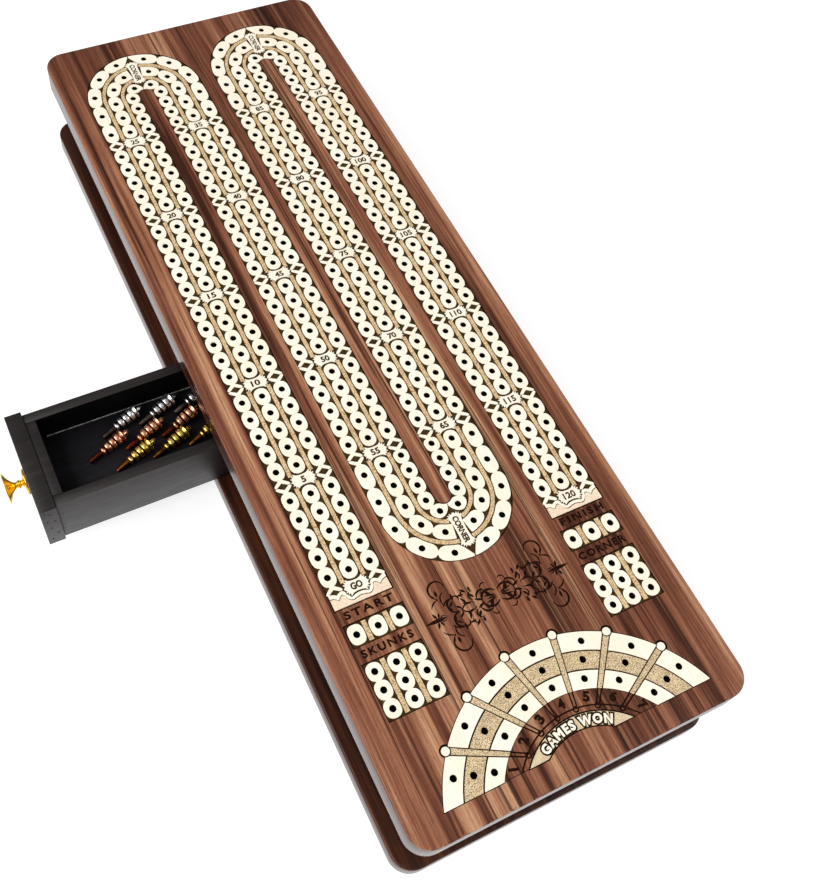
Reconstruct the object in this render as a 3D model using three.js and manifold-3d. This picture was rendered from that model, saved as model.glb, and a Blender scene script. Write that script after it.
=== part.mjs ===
// Continuous four-street cribbage board with a storage drawer.
// Units are millimetres. +X runs across the board, +Y along it towards the far U-turns, +Z is up.
// The origin is the centre of the bottom panel's underside.
import * as THREE from 'three';
import { mergeVertices } from 'three/addons/utils/BufferGeometryUtils.js';
import Module from 'manifold-3d';

const wasm = await Module();
wasm.setup();

// ---------- driving dimensions ----------
const pitch = 8;                 // one peg hole to the next along a lane
const glueGap = 0.2;             // clearance left between pieces that are glued or screwed together
const inlayGap = 0.3;            // clearance between an inlay and its pocket

const board = { width: 131, length: 375, cornerRadius: 8.5, edgeRound: 0.9 };
const bottomThickness = 9;
const frameHeight = 29.5;        // space between the two panels
const topThickness = 12.5;
const frameZ = bottomThickness;
const topZ = bottomThickness + frameHeight;
const faceZ = topZ + topThickness;

const railInset = 8;             // the frame sits this far inside the panels' edges
const railThickness = 10;
const guideThickness = 6;

const peg = {
  holeRadius: 1.3,
  holeDepth: 8.5,
  holeSides: 6,
  shank: 6.2,
  buttRadius: 0.95,
  neckRadius: 1.25,
  flareRadius: 2.9,
  flareAt: 16.3,                 // distances run from the butt, the end that goes into a hole
  length: 19.4,
};

const drawer = {
  centreY: -2,                   // middle of the drawer opening
  frontX: -134.8,                // outer face of the drawer front, part open
  length: 110,
  frontWidth: 44,
  boxWidth: 41.4,
  frontHeight: 27.5,
  sideHeight: 26.8,
  wall: 4,
  facing: 6.2,                   // thickness of the front that is glued on the box
  floorThickness: 3,
  floorDepth: 14.8,              // top edge of the walls down to the floor
  grooveDepth: 1.6,
  runClearance: 0.5,
};
const drawerZ = frameZ + 0.4;

const knob = { rimRadius: 6.15, length: 8.1, neckRadius: 1.2, baseRadius: 5.2, baseThickness: 0.8 };

// ---------- helpers ----------
const group = new THREE.Group();

const finish = (color, roughness, metalness = 0) =>
  new THREE.MeshStandardMaterial({ color, roughness, metalness });
const rosewood = finish(0x7a4a38, 0.35);
const darkWood = finish(0x38190d, 0.4);
const maple = finish(0xf6efd8, 0.5);
const blackWood = finish(0x1b1a1c, 0.45);
const brass = finish(0xd9a520, 0.25, 1);
const steel = finish(0x9a9a9a, 0.4, 1);

function add(name, geometry, material) {
  const mesh = new THREE.Mesh(geometry, material);
  mesh.name = name;
  group.add(mesh);
  return mesh;
}

function solid(geometry) {
  const plain = geometry.clone();
  plain.deleteAttribute('normal');
  plain.deleteAttribute('uv');
  const merged = mergeVertices(plain, 1e-4);
  return new wasm.Manifold(new wasm.Mesh({
    numProp: 3,
    vertProperties: new Float32Array(merged.attributes.position.array),
    triVerts: new Uint32Array(merged.index.array),
  }));
}

function geometryOf(manifold) {
  const mesh = manifold.getMesh();
  const geometry = new THREE.BufferGeometry();
  geometry.setAttribute('position', new THREE.BufferAttribute(mesh.vertProperties, 3));
  geometry.setIndex(new THREE.BufferAttribute(mesh.triVerts, 1));
  geometry.computeVertexNormals();
  return geometry;
}

// A box from its lowest corner to its highest.
function box(low, high) {
  const size = high.map((value, axis) => value - low[axis]);
  const middle = high.map((value, axis) => (value + low[axis]) / 2);
  return new THREE.BoxGeometry(...size).translate(...middle);
}

function extrude(shape, bottom, top, curveSegments = 8) {
  const options = { depth: top - bottom, bevelEnabled: false, curveSegments };
  return new THREE.ExtrudeGeometry(shape, options).translate(0, 0, bottom);
}

function cylinder(radius, bottom, top, sides, x, y) {
  const geometry = new THREE.CylinderGeometry(radius, radius, top - bottom, sides);
  return geometry.rotateX(Math.PI / 2).translate(x, y, (top + bottom) / 2);
}

// A position on the face, in hole pitches: across from the centre line, along from the GO mark.
const goMarkY = -98.1;
const onFace = (across, along) => [across * pitch, goMarkY + along * pitch];

// ---------- panels ----------
function panel(bottom, thickness) {
  const { width, length, cornerRadius, edgeRound } = board;
  const halfWidth = width / 2 - edgeRound;
  const halfLength = length / 2 - edgeRound;
  const radius = cornerRadius - edgeRound;
  const shape = new THREE.Shape();
  shape.absarc(halfWidth - radius, halfLength - radius, radius, 0, Math.PI / 2);
  shape.absarc(-halfWidth + radius, halfLength - radius, radius, Math.PI / 2, Math.PI);
  shape.absarc(-halfWidth + radius, -halfLength + radius, radius, Math.PI, Math.PI * 1.5);
  shape.absarc(halfWidth - radius, -halfLength + radius, radius, Math.PI * 1.5, Math.PI * 2);
  const geometry = new THREE.ExtrudeGeometry(shape, {
    depth: thickness - 2 * edgeRound,
    bevelThickness: edgeRound,
    bevelSize: edgeRound,
    bevelSegments: 2,
    curveSegments: 5,
  });
  return geometry.translate(0, 0, bottom + edgeRound);
}

// ---------- inlays ----------
// Every inlay function takes a margin, so that its pocket is the same outline made slightly larger.
const lane = { spacing: 1.0237, bandHalfWidth: 1.4 };
const street = {
  centres: [-5.5125, -1.8375, 1.8375, 5.5125],
  end: -0.75,                    // where the first and last streets stop
  mark: 5.58,                    // one numbered mark to the next
  firstHole: 0.79,               // mark to the nearest hole
  groups: 5,                     // groups of five holes along an outer street
};
const farTurn = 31.109;
const nearTurn = 2.331;
const turnRadius = 1.8375;

function trackOutline(margin) {
  const half = lane.bandHalfWidth + margin / pitch;
  const outer = (turnRadius + half) * pitch;
  const inner = (turnRadius - half) * pitch;
  const [first, , , last] = street.centres;
  const shape = new THREE.Shape();
  const end = street.end - margin / pitch;
  shape.moveTo(...onFace(first - half, end));
  shape.lineTo(...onFace(first - half, farTurn));
  shape.absarc(...onFace(-2 * turnRadius, farTurn), outer, Math.PI, 0, true);
  shape.absarc(...onFace(0, nearTurn), inner, Math.PI, Math.PI * 2, false);
  shape.absarc(...onFace(2 * turnRadius, farTurn), outer, Math.PI, 0, true);
  shape.lineTo(...onFace(last + half, end));
  shape.lineTo(...onFace(last - half, end));
  shape.absarc(...onFace(2 * turnRadius, farTurn), inner, 0, Math.PI, false);
  shape.absarc(...onFace(0, nearTurn), outer, 0, -Math.PI, true);
  shape.absarc(...onFace(-2 * turnRadius, farTurn), inner, 0, Math.PI, false);
  shape.lineTo(...onFace(first + half, end));
  return shape;
}

// Holes of the three lanes: straight groups of five, then five on each side of every U-turn's apex.
function trackHoles() {
  const holes = [];
  const turnEnds = [[0.92, 0.83], [0.77, 0.755], [0.647, 0.5]];   // outer, middle, inner lane
  street.centres.forEach((centre, index) => {
    const outerStreet = index === 0 || index === 3;
    for (let mark = outerStreet ? 0 : 1; mark < street.groups; mark += 1) {
      for (let hole = 0; hole < 5; hole += 1) {
        const along = mark * street.mark + street.firstHole + hole;
        [-1, 0, 1].forEach((side) => holes.push([centre + side * lane.spacing, along]));
      }
    }
  });
  const turns = [
    { centre: -2 * turnRadius, along: farTurn, mark: street.groups * street.mark, up: 1 },
    { centre: 0, along: nearTurn, mark: street.mark, up: -1 },
    { centre: 2 * turnRadius, along: farTurn, mark: street.groups * street.mark, up: 1 },
  ];
  turns.forEach(({ centre, along, mark, up }) => {
    turnEnds.forEach(([fromMark, fromApex], laneIndex) => {
      const radius = turnRadius + (1 - laneIndex) * lane.spacing;
      const straight = Math.abs(along - mark);
      const total = straight + radius * Math.PI / 2;
      for (let hole = 0; hole < 5; hole += 1) {
        const distance = fromMark + (total - fromMark - fromApex) * hole / 4;
        const angle = Math.max(0, distance - straight) / radius;
        const x = radius * Math.cos(angle);
        const y = mark + up * Math.min(distance, straight) + up * radius * Math.sin(angle);
        holes.push([centre - x, y], [centre + x, y]);
      }
    });
  });
  return holes;
}

// Small plates of three lanes, beside the ends of the first and last streets.
// Their ends lie half of endRoom past the outermost rows of holes.
const plates = [
  { name: 'start_inlay', centre: [-5.45, -2.02], rows: 1, endRoom: 1.02 },
  { name: 'skunks_inlay', centre: [-5.45, -4.6], rows: 3, endRoom: 0.86 },
  { name: 'finish_inlay', centre: [5.51, -1.98], rows: 1, endRoom: 1.02 },
  { name: 'corner_inlay', centre: [5.51, -4.55], rows: 3, endRoom: 0.86 },
];
const plateRowSpacing = 0.845;
const plateWidth = 2.8;

function plateOutline({ centre, rows, endRoom }, margin) {
  const [x, y] = onFace(...centre);
  const halfWidth = plateWidth * pitch / 2 + margin;
  const halfLength = ((rows - 1) * plateRowSpacing + endRoom) * pitch / 2 + margin;
  const shape = new THREE.Shape();
  shape.moveTo(x - halfWidth, y - halfLength);
  shape.lineTo(x + halfWidth, y - halfLength);
  shape.lineTo(x + halfWidth, y + halfLength);
  shape.lineTo(x - halfWidth, y + halfLength);
  return shape;
}

function plateHoles({ centre, rows }) {
  const holes = [];
  for (let row = 0; row < rows; row += 1) {
    const along = centre[1] + (row - (rows - 1) / 2) * plateRowSpacing;
    [-1, 0, 1].forEach((side) => holes.push([centre[0] + side * lane.spacing, along]));
  }
  return holes;
}

// The games-won fan: rings cut off by a straight base line, with round heads where six spokes end.
// The spokes and the rows of holes spread from a point above the rings' centre.
const fan = {
  centre: [0.05, -12.36],
  rayRise: 1.76,                 // the rings' centre up to the point that the spokes spread from
  base: 2.43,                    // the rings' centre up to the base line
  inner: 4.475,
  outer: 6.95,
  labelInner: 2.925,
  labelOuter: 3.54,
  holeRadii: [6.54, 5.73, 4.91],
  holeAngles: [-73.3, -51.5, -27, 0, 27, 51.5, 73.3],      // degrees from straight along the board
  spokeAngles: [-62.9, -39.1, -13.1, 13.1, 39.1, 62.9],
  headRadius: 0.185,
  headCentre: 6.99,
};

// Where the ray at an angle meets a circle about the rings' centre.
function fanPoint(radius, degrees) {
  const angle = THREE.MathUtils.degToRad(degrees);
  const offAxis = fan.rayRise * Math.sin(angle);
  const reach = Math.sqrt(radius ** 2 - offAxis ** 2) - fan.rayRise * Math.cos(angle);
  const across = reach * Math.sin(angle);
  const along = fan.rayRise + reach * Math.cos(angle);
  return [fan.centre[0] + across, fan.centre[1] + along];
}

function ringOutline(innerRadius, outerRadius, margin) {
  const grow = margin / pitch;
  const inner = innerRadius - grow;
  const outer = outerRadius + grow;
  const base = fan.base - grow;
  const [x, y] = onFace(...fan.centre);
  const innerAngle = Math.asin(base / inner);
  const outerAngle = Math.asin(base / outer);
  const shape = new THREE.Shape();
  shape.absarc(x, y, outer * pitch, outerAngle, Math.PI - outerAngle, false);
  shape.absarc(x, y, inner * pitch, Math.PI - innerAngle, innerAngle, true);
  return shape;
}

function fanSolid(bottom, top, margin) {
  const heads = fan.spokeAngles.map((degrees) => {
    const [x, y] = onFace(...fanPoint(fan.headCentre, degrees));
    return solid(cylinder(fan.headRadius * pitch + margin, bottom, top, 10, x, y));
  });
  const rings = solid(extrude(ringOutline(fan.inner, fan.outer, margin), bottom, top, 14));
  return rings.add(wasm.Manifold.compose(heads));
}

function fanHoles() {
  return fan.holeAngles.flatMap((degrees) => fan.holeRadii.map((radius) => fanPoint(radius, degrees)));
}

// One manifold that holds all the hole prisms, ready to be taken out of an inlay in a single cut.
function drills(holes, bottom, top) {
  const radius = peg.holeRadius / Math.cos(Math.PI / peg.holeSides);
  const prisms = holes.map((hole) => {
    const [x, y] = onFace(...hole);
    return solid(cylinder(radius, bottom - 1, top + 1, peg.holeSides, x, y));
  });
  return wasm.Manifold.compose(prisms);
}

const inlayBottom = faceZ - peg.holeDepth;
const extruded = (outline, curveSegments) => (low, high, margin) =>
  solid(extrude(outline(margin), low, high, curveSegments));
const labelOutline = (margin) => ringOutline(fan.labelInner, fan.labelOuter, margin);
const inlays = [
  { name: 'track_inlay', holes: trackHoles(), make: extruded(trackOutline, 12) },
  { name: 'games_fan_inlay', holes: fanHoles(), make: fanSolid },
  { name: 'games_label_inlay', holes: [], make: extruded(labelOutline, 10) },
  ...plates.map((plate) => ({
    name: plate.name,
    holes: plateHoles(plate),
    make: extruded((margin) => plateOutline(plate, margin)),
  })),
];

let topPanel = solid(panel(topZ, topThickness));
inlays.forEach(({ make }) => {
  topPanel = topPanel.subtract(make(inlayBottom - inlayGap, faceZ + 1, inlayGap));
});
add('top_panel', geometryOf(topPanel), rosewood);

inlays.forEach(({ name, holes, make }) => {
  let inlay = make(inlayBottom, faceZ, 0);
  if (holes.length) inlay = inlay.subtract(drills(holes, inlayBottom, faceZ));
  add(name, geometryOf(inlay), maple);
});

// ---------- frame between the panels ----------
const railOuterX = board.width / 2 - railInset;
const railOuterY = board.length / 2 - railInset;
const railInnerX = railOuterX - railThickness;
const railInnerY = railOuterY - railThickness;
const railLow = frameZ + glueGap;
const railHigh = topZ - glueGap;
const opening = drawer.boxWidth / 2 + drawer.runClearance;
const openingNear = drawer.centreY - opening;
const openingFar = drawer.centreY + opening;

const crossHalf = railInnerX - glueGap;        // half the length of the boards between the side rails
const guideNear = openingNear - guideThickness;
const guideFar = openingFar + guideThickness;
const frameBoards = {
  left_rail_near: [[-railOuterX, -railOuterY], [-railInnerX, openingNear]],
  left_rail_far: [[-railOuterX, openingFar], [-railInnerX, railOuterY]],
  right_rail: [[railInnerX, -railOuterY], [railOuterX, railOuterY]],
  near_rail: [[-crossHalf, -railOuterY], [crossHalf, -railInnerY]],
  far_rail: [[-crossHalf, railInnerY], [crossHalf, railOuterY]],
  drawer_guide_near: [[-crossHalf, guideNear], [crossHalf, openingNear]],
  drawer_guide_far: [[-crossHalf, openingFar], [crossHalf, guideFar]],
};

// ---------- bottom panel and its screws ----------
const screw = { radius: 1.75, headRadius: 3.5, headDepth: 2.2, length: 24, point: 3, sides: 8 };
const screwSink = 0.3;           // the heads sit this far inside the bottom panel
const screwX = railOuterX - railThickness / 2;
const screwSpots = [];
[-165, -85, 60, 165].forEach((y) => screwSpots.push([-screwX, y], [screwX, y]));

function screwSolid(x, y, margin) {
  const points = [
    new THREE.Vector2(0, 0),
    new THREE.Vector2(screw.headRadius + margin, 0),
    new THREE.Vector2(screw.radius + margin, screw.headDepth + margin),
    new THREE.Vector2(screw.radius + margin, screw.length - screw.point + margin),
    new THREE.Vector2(0, screw.length + margin),
  ];
  const geometry = new THREE.LatheGeometry(points, screw.sides);
  return solid(geometry.rotateX(Math.PI / 2).translate(x, y, screwSink - margin));
}

const screwHoles = wasm.Manifold.compose(screwSpots.map(([x, y]) => screwSolid(x, y, screwSink)));
add('bottom_panel', geometryOf(solid(panel(0, bottomThickness)).subtract(screwHoles)), darkWood);

Object.entries(frameBoards).forEach(([name, [low, high]]) => {
  const plain = solid(box([...low, railLow], [...high, railHigh]));
  add(name, geometryOf(plain.subtract(screwHoles)), darkWood);
});
screwSpots.forEach(([x, y], index) => {
  add(`base_screw_${index + 1}`, geometryOf(screwSolid(x, y, 0)), steel);
});

// ---------- drawer ----------
const facingBack = drawer.frontX + drawer.facing;
const boxStart = facingBack + glueGap;
const boxFrontInside = boxStart + drawer.wall;
const drawerEnd = drawer.frontX + drawer.length;
const halfFront = drawer.frontWidth / 2;
const halfBox = drawer.boxWidth / 2;
const halfInside = halfBox - drawer.wall;
const floorTop = drawerZ + drawer.frontHeight - drawer.floorDepth;
const floorBottom = floorTop - drawer.floorThickness;
const drawerY = (offset) => drawer.centreY + offset;

const floorReach = drawer.grooveDepth - glueGap;
const floorLow = [boxFrontInside - floorReach, drawerY(-halfInside - floorReach), floorBottom];
const floorHigh = [drawerEnd - drawer.wall + floorReach, drawerY(halfInside + floorReach), floorTop];
const groove = solid(box(
  floorLow.map((value) => value - glueGap),
  floorHigh.map((value) => value + glueGap),
));

// A threaded stud joins the knob to the drawer front.
const knobZ = drawerZ + drawer.frontHeight / 2;
const stud = { radius: 0.7, outside: 2.4, inside: 9 };
const studHole = solid(rodAlongX(stud.radius + glueGap, -stud.outside - glueGap, stud.inside + glueGap));

function rodAlongX(radius, from, to) {
  const geometry = new THREE.CylinderGeometry(radius, radius, to - from, 10).rotateZ(Math.PI / 2);
  return geometry.translate(drawer.frontX + (from + to) / 2, drawer.centreY, knobZ);
}

const frontTop = drawerZ + drawer.frontHeight;
const sideTop = drawerZ + drawer.sideHeight;
const betweenSides = [-halfInside + glueGap, halfInside - glueGap];
const drawerBoards = {
  drawer_facing: { x: [drawer.frontX, facingBack], y: [-halfFront, halfFront], top: frontTop },
  drawer_box_front: { x: [boxStart, boxFrontInside], y: betweenSides, top: sideTop },
  drawer_side_near: { x: [boxStart, drawerEnd], y: [-halfBox, -halfInside], top: sideTop },
  drawer_side_far: { x: [boxStart, drawerEnd], y: [halfInside, halfBox], top: sideTop },
  drawer_back: { x: [drawerEnd - drawer.wall, drawerEnd], y: betweenSides, top: sideTop },
};
Object.entries(drawerBoards).forEach(([name, { x, y, top }]) => {
  const plain = box([x[0], drawerY(y[0]), drawerZ], [x[1], drawerY(y[1]), top]);
  const cut = solid(plain).subtract(groove).subtract(studHole);
  add(name, geometryOf(cut), blackWood);
});
add('drawer_floor', box(floorLow, floorHigh), blackWood);

// ---------- knob ----------
// Profile from the seat on the drawer front out to the rim, then along the dished face to the axis.
const knobProfile = [
  [0, 0],
  [knob.baseRadius, 0],
  [knob.baseRadius, knob.baseThickness],
  [knob.neckRadius + 0.6, knob.baseThickness + 0.4],
  [knob.neckRadius, knob.length * 0.25],
  [knob.neckRadius + 0.5, knob.length * 0.36],
  [knob.neckRadius, knob.length * 0.47],
  [knob.neckRadius + 0.4, knob.length * 0.6],
  [knob.rimRadius * 0.5, knob.length * 0.79],
  [knob.rimRadius, knob.length - 0.4],
  [knob.rimRadius, knob.length],
  [knob.rimRadius * 0.55, knob.length - 0.4],
  [0, knob.length - 0.2],
].map(([radius, height]) => new THREE.Vector2(radius, height));
const knobBody = solid(new THREE.LatheGeometry(knobProfile, 16).rotateZ(Math.PI / 2)
  .translate(drawer.frontX - glueGap, drawer.centreY, knobZ));
add('drawer_knob', geometryOf(knobBody.subtract(studHole)), brass);
add('knob_stud', rodAlongX(stud.radius, -stud.outside, stud.inside), steel);

// ---------- pegs ----------
// Profile from the butt: a tapered shank, a collar, three growing beads, a flared disc and a pointed tip.
const beadPitch = 2.4;
const firstBead = 9.1;
const pegProfile = [
  [0, 0],
  [peg.buttRadius, 0],
  [peg.neckRadius, peg.shank],
  [1.7, peg.shank + 0.5],
  [1.4, firstBead - 1.3],
];
[2.15, 2.4, 2.6].forEach((radius, bead) => {
  const middle = firstBead + bead * beadPitch;
  pegProfile.push([radius, middle - 0.6], [radius, middle + 0.6], [radius * 0.76, middle + beadPitch / 2]);
});
pegProfile.push([peg.flareRadius, peg.flareAt], [1.1, peg.flareAt + 0.8], [0, peg.length]);

const pegRows = [
  { metal: 'silver', neck: [-96.4, 9.0], finish: finish(0xd8dadd, 0.2, 1) },
  { metal: 'copper', neck: [-104.8, 0.6], finish: finish(0xd98a5f, 0.25, 1) },
  { metal: 'gold', neck: [-96.4, -7.2], finish: finish(0xe6bf4a, 0.22, 1) },
];
const pegColumnStep = 14.9;
const pegYaw = THREE.MathUtils.degToRad(20);
const pegTilt = Math.asin((peg.flareRadius - peg.buttRadius) / peg.flareAt);
const floorClearance = 0.35;

pegRows.forEach(({ metal, neck, finish: material }) => {
  for (let column = 0; column < 3; column += 1) {
    // The peg lies with its butt and its flare on the drawer floor.
    const points = pegProfile.map(([radius, height]) => new THREE.Vector2(radius, height));
    const geometry = new THREE.LatheGeometry(points, 8).rotateZ(-Math.PI / 2);
    geometry.translate(-peg.shank, 0, 0);
    geometry.rotateY(-pegTilt);
    geometry.rotateZ(pegYaw);
    const height = floorTop + floorClearance + peg.buttRadius + peg.shank * Math.sin(pegTilt);
    const mesh = add(`${metal}_peg_${column + 1}`, geometry, material);
    mesh.position.set(neck[0] + column * pegColumnStep, drawer.centreY + neck[1], height);
  }
});

export default group;
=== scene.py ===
"""Looks of the cribbage board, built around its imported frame. Plans are in millimetres, objects in metres."""
import math

import bmesh
import bpy
import numpy as np
from mathutils import Matrix, Vector
from mathutils.geometry import delaunay_2d_cdt


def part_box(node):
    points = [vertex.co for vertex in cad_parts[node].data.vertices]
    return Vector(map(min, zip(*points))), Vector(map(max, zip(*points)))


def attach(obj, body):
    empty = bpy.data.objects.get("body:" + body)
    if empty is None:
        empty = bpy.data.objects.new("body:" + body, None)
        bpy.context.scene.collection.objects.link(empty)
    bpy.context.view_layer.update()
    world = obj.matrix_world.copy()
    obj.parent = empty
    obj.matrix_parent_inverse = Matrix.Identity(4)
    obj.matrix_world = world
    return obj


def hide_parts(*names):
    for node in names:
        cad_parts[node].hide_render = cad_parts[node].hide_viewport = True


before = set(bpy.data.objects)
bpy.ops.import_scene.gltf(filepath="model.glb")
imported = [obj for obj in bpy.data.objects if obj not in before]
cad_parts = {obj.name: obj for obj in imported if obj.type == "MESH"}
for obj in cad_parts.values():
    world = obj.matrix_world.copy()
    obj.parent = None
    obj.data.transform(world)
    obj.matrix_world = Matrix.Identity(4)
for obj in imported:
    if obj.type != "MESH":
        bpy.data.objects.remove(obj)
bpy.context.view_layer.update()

MM = 0.001
WELD = 1e-6                       # in metres: points nearer than this become one


def box_mm(node):
    """A frame node's lowest and highest corner, in millimetres."""
    low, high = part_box(node)
    return [value / MM for value in low], [value / MM for value in high]


# ---------- dimensions, in millimetres unless a comment says pitches ----------
PITCH = 8.0                       # one peg hole to the next along a lane
PANEL_LOW, PANEL_HIGH = box_mm("top_panel")
BASE_LOW, BASE_HIGH = box_mm("bottom_panel")
TRACK_LOW, _ = box_mm("track_inlay")
FACE = PANEL_HIGH[2]
INLAY_BOTTOM = TRACK_LOW[2]
POCKET_GAP = 0.3
ENGRAVED = 0.35                   # depth of the burnt engraving
GROUND = FACE - ENGRAVED
SUNK = 0.05                       # how far a raised piece reaches into what it stands on
HOLE_RADIUS = 1.25
HOLE_BURN = 0.12                  # the charred ground stops this far outside a hole
LEG_END = -0.75                   # in pitches: where the first and last legs stop
GO_Y = TRACK_LOW[1] - LEG_END * PITCH
CORNER_RADIUS, CORNER_STEPS = 8.5, 10
EDGE_ROUND, EDGE_STEPS = 0.9, 4

LANE = 1.0237                     # in pitches: one lane to the next
BAND = 1.4                        # in pitches: half the width of a three-lane band
MARK = 5.58                       # in pitches: one numbered mark to the next
FIRST_HOLE = 0.79                 # in pitches: a mark to its nearest hole
TURN_RADIUS = 1.8375              # in pitches: of a turn's middle lane
LEGS = (-5.5125, -1.8375, 1.8375, 5.5125)       # in pitches: the middle lane of each leg
FAR_TURN, NEAR_TURN = 31.109, 2.331     # in pitches: the middles of the turns


def on_face(u, v):
    """Pitches across and along from the GO mark, as millimetres in the row frame."""
    return (u * PITCH, GO_Y + v * PITCH)


# ---------- plane geometry ----------
def circle(x, y, radius, sides=24):
    """A ring of points, anticlockwise, in the units of its centre."""
    step = 2 * math.pi / sides
    return [(x + radius * math.cos(k * step), y + radius * math.sin(k * step)) for k in range(sides)]


def area(loop):
    points = np.array(loop)
    after = np.roll(points, -1, 0)
    return 0.5 * float(np.sum(points[:, 0] * after[:, 1] - after[:, 0] * points[:, 1]))


def outer(loop):
    """The loop with its material inside."""
    return loop if area(loop) > 0 else loop[::-1]


def hole(loop):
    """The loop with its material outside."""
    return loop if area(loop) < 0 else loop[::-1]


def scaled(loop):
    """A loop in pitches, in millimetres."""
    return [(x * PITCH, y * PITCH) for x, y in loop]


def placed(loop, x, y, turn=0.0):
    """The loop turned by an angle in radians and moved."""
    c, s = math.cos(turn), math.sin(turn)
    return [(x + c * a - s * b, y + s * a + c * b) for a, b in loop]


def inset(loop, distance):
    """The loop with every corner moved towards its material."""
    points = np.array(loop, float)
    ahead = np.roll(points, -1, 0) - points
    ahead /= np.maximum(np.linalg.norm(ahead, axis=1, keepdims=True), 1e-9)
    behind = np.roll(ahead, 1, 0)
    left = lambda d: np.stack([-d[:, 1], d[:, 0]], 1)
    mitre = left(ahead) + left(behind)
    mitre /= np.maximum(1 + np.sum(ahead * behind, 1, keepdims=True), 0.5)
    return [tuple(p) for p in points + mitre * distance]


def winding(points, loops):
    """How many times the loops run round each point."""
    total = np.zeros(len(points), int)
    starts = np.concatenate([np.array(loop, float) for loop in loops])
    ends = np.concatenate([np.roll(np.array(loop, float), -1, 0) for loop in loops])
    for chunk in range(0, len(points), 2000):
        p = points[chunk:chunk + 2000, None, :]
        side = ((ends[None, :, 0] - starts[None, :, 0]) * (p[..., 1] - starts[None, :, 1])
                - (p[..., 0] - starts[None, :, 0]) * (ends[None, :, 1] - starts[None, :, 1]))
        up = (starts[None, :, 1] <= p[..., 1]) & (ends[None, :, 1] > p[..., 1]) & (side > 0)
        down = (starts[None, :, 1] > p[..., 1]) & (ends[None, :, 1] <= p[..., 1]) & (side < 0)
        total[chunk:chunk + 2000] = up.sum(1) - down.sum(1)
    return total


def fill(loops):
    """Points and triangles of the region that the loops wind round at least once."""
    points, edges = [], []
    for loop in loops:
        first = len(points)
        points += [Vector(p) for p in loop]
        edges += [(first + k, first + (k + 1) % len(loop)) for k in range(len(loop))]
    found = delaunay_2d_cdt(points, edges, [], 0, 1e-6, False)
    corners = np.array([tuple(p) for p in found[0]])
    triangles = np.array([face for face in found[2] if len(face) == 3])
    middles = corners[triangles].mean(1)
    return corners, triangles[winding(middles, loops) > 0]


def rim_edges(triangles):
    """The directed edges round a region, with the region on their left."""
    directed = {(int(t[k]), int(t[(k + 1) % 3])) for t in triangles for k in range(3)}
    return [(a, b) for a, b in directed if (b, a) not in directed]


# ---------- meshes ----------
class Form:
    """Vertices and faces collected for one object."""

    def __init__(self):
        self.points, self.faces, self.slots = [], [], []

    def add(self, points, faces, slot=0):
        first = len(self.points)
        self.points += [tuple(p) for p in points]
        self.faces += [tuple(first + k for k in face) for face in faces]
        self.slots += [slot] * len(faces)

    def sheet(self, loops, height, slot=0, up=True):
        """A flat filled region."""
        corners, triangles = fill(loops)
        faces = triangles if up else triangles[:, ::-1]
        self.add([(x, y, height) for x, y in corners], faces.tolist(), slot)

    def wall(self, loop, low, high, slot=0, upper=None):
        """A band from the loop up to itself, or to another loop of as many points."""
        n = len(loop)
        upper = upper or loop
        points = [(x, y, low) for x, y in loop] + [(x, y, high) for x, y in upper]
        self.add(points, [(k, (k + 1) % n, n + (k + 1) % n, n + k) for k in range(n)], slot)

    def plate(self, loops, low, high, chamfer):
        """A closed solid with upright sides and a small chamfer round its upper edges."""
        crown = [inset(loop, chamfer) for loop in loops]
        for loop, rim in zip(loops, crown):
            self.wall(loop, low, high - chamfer)
            self.wall(loop, high - chamfer, high, upper=rim)
        self.sheet(crown, high)
        self.sheet(loops, low, up=False)

    def prism(self, loops, low, high, top=0, side=0):
        """A closed solid whose outline may be loops that cross one another."""
        corners, triangles = fill(loops)
        self.add([(x, y, high) for x, y in corners], triangles.tolist(), top)
        self.add([(x, y, low) for x, y in corners], triangles[:, ::-1].tolist(), side)
        self.rim(corners, triangles, low, high, side)

    def pocket(self, loops, low, high, floor=0, side=0):
        """The floor and walls of a hollow that opens upwards."""
        corners, triangles = fill(loops)
        self.add([(x, y, low) for x, y in corners], triangles.tolist(), floor)
        self.rim(corners, triangles, low, high, side, inward=True)

    def rim(self, corners, triangles, low, high, side, inward=False):
        """Upright walls round a filled region."""
        for a, b in rim_edges(triangles):
            (x0, y0), (x1, y1) = (corners[b], corners[a]) if inward else (corners[a], corners[b])
            self.add([(x0, y0, low), (x1, y1, low), (x1, y1, high), (x0, y0, high)], [(0, 1, 2, 3)], side)

    def lathe(self, profile, sides, place, seam_slots=None):
        """A turned body. profile runs from axis to axis as (radius, height); place maps (x, y, z)."""
        rings = []
        for radius, height in profile:
            if radius < 1e-6:
                rings.append([len(self.points)])
                self.points.append(tuple(place(0, 0, height)))
            else:
                rings.append(list(range(len(self.points), len(self.points) + sides)))
                for x, y in circle(0, 0, radius, sides):
                    self.points.append(tuple(place(x, y, height)))
        for k, (a, b) in enumerate(zip(rings, rings[1:])):
            material = seam_slots[k] if seam_slots else 0
            for i in range(sides):
                j = (i + 1) % sides
                if len(a) == 1:
                    face = (a[0], b[j], b[i])
                elif len(b) == 1:
                    face = (a[i], a[j], b[0])
                else:
                    face = (a[i], a[j], b[j], b[i])
                self.faces.append(face)
                self.slots.append(material)

    def build(self, name, materials, body, smooth=35):
        """The object, in metres, riding on a body."""
        mesh = bpy.data.meshes.new(name)
        mesh.from_pydata([(x * MM, y * MM, z * MM) for x, y, z in self.points], [], self.faces)
        for material in materials:
            mesh.materials.append(material)
        mesh.polygons.foreach_set("material_index", self.slots)
        work = bmesh.new()
        work.from_mesh(mesh)
        bmesh.ops.remove_doubles(work, verts=work.verts, dist=WELD)
        work.to_mesh(mesh)
        work.free()
        return finished(name, mesh, body, smooth)


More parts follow.
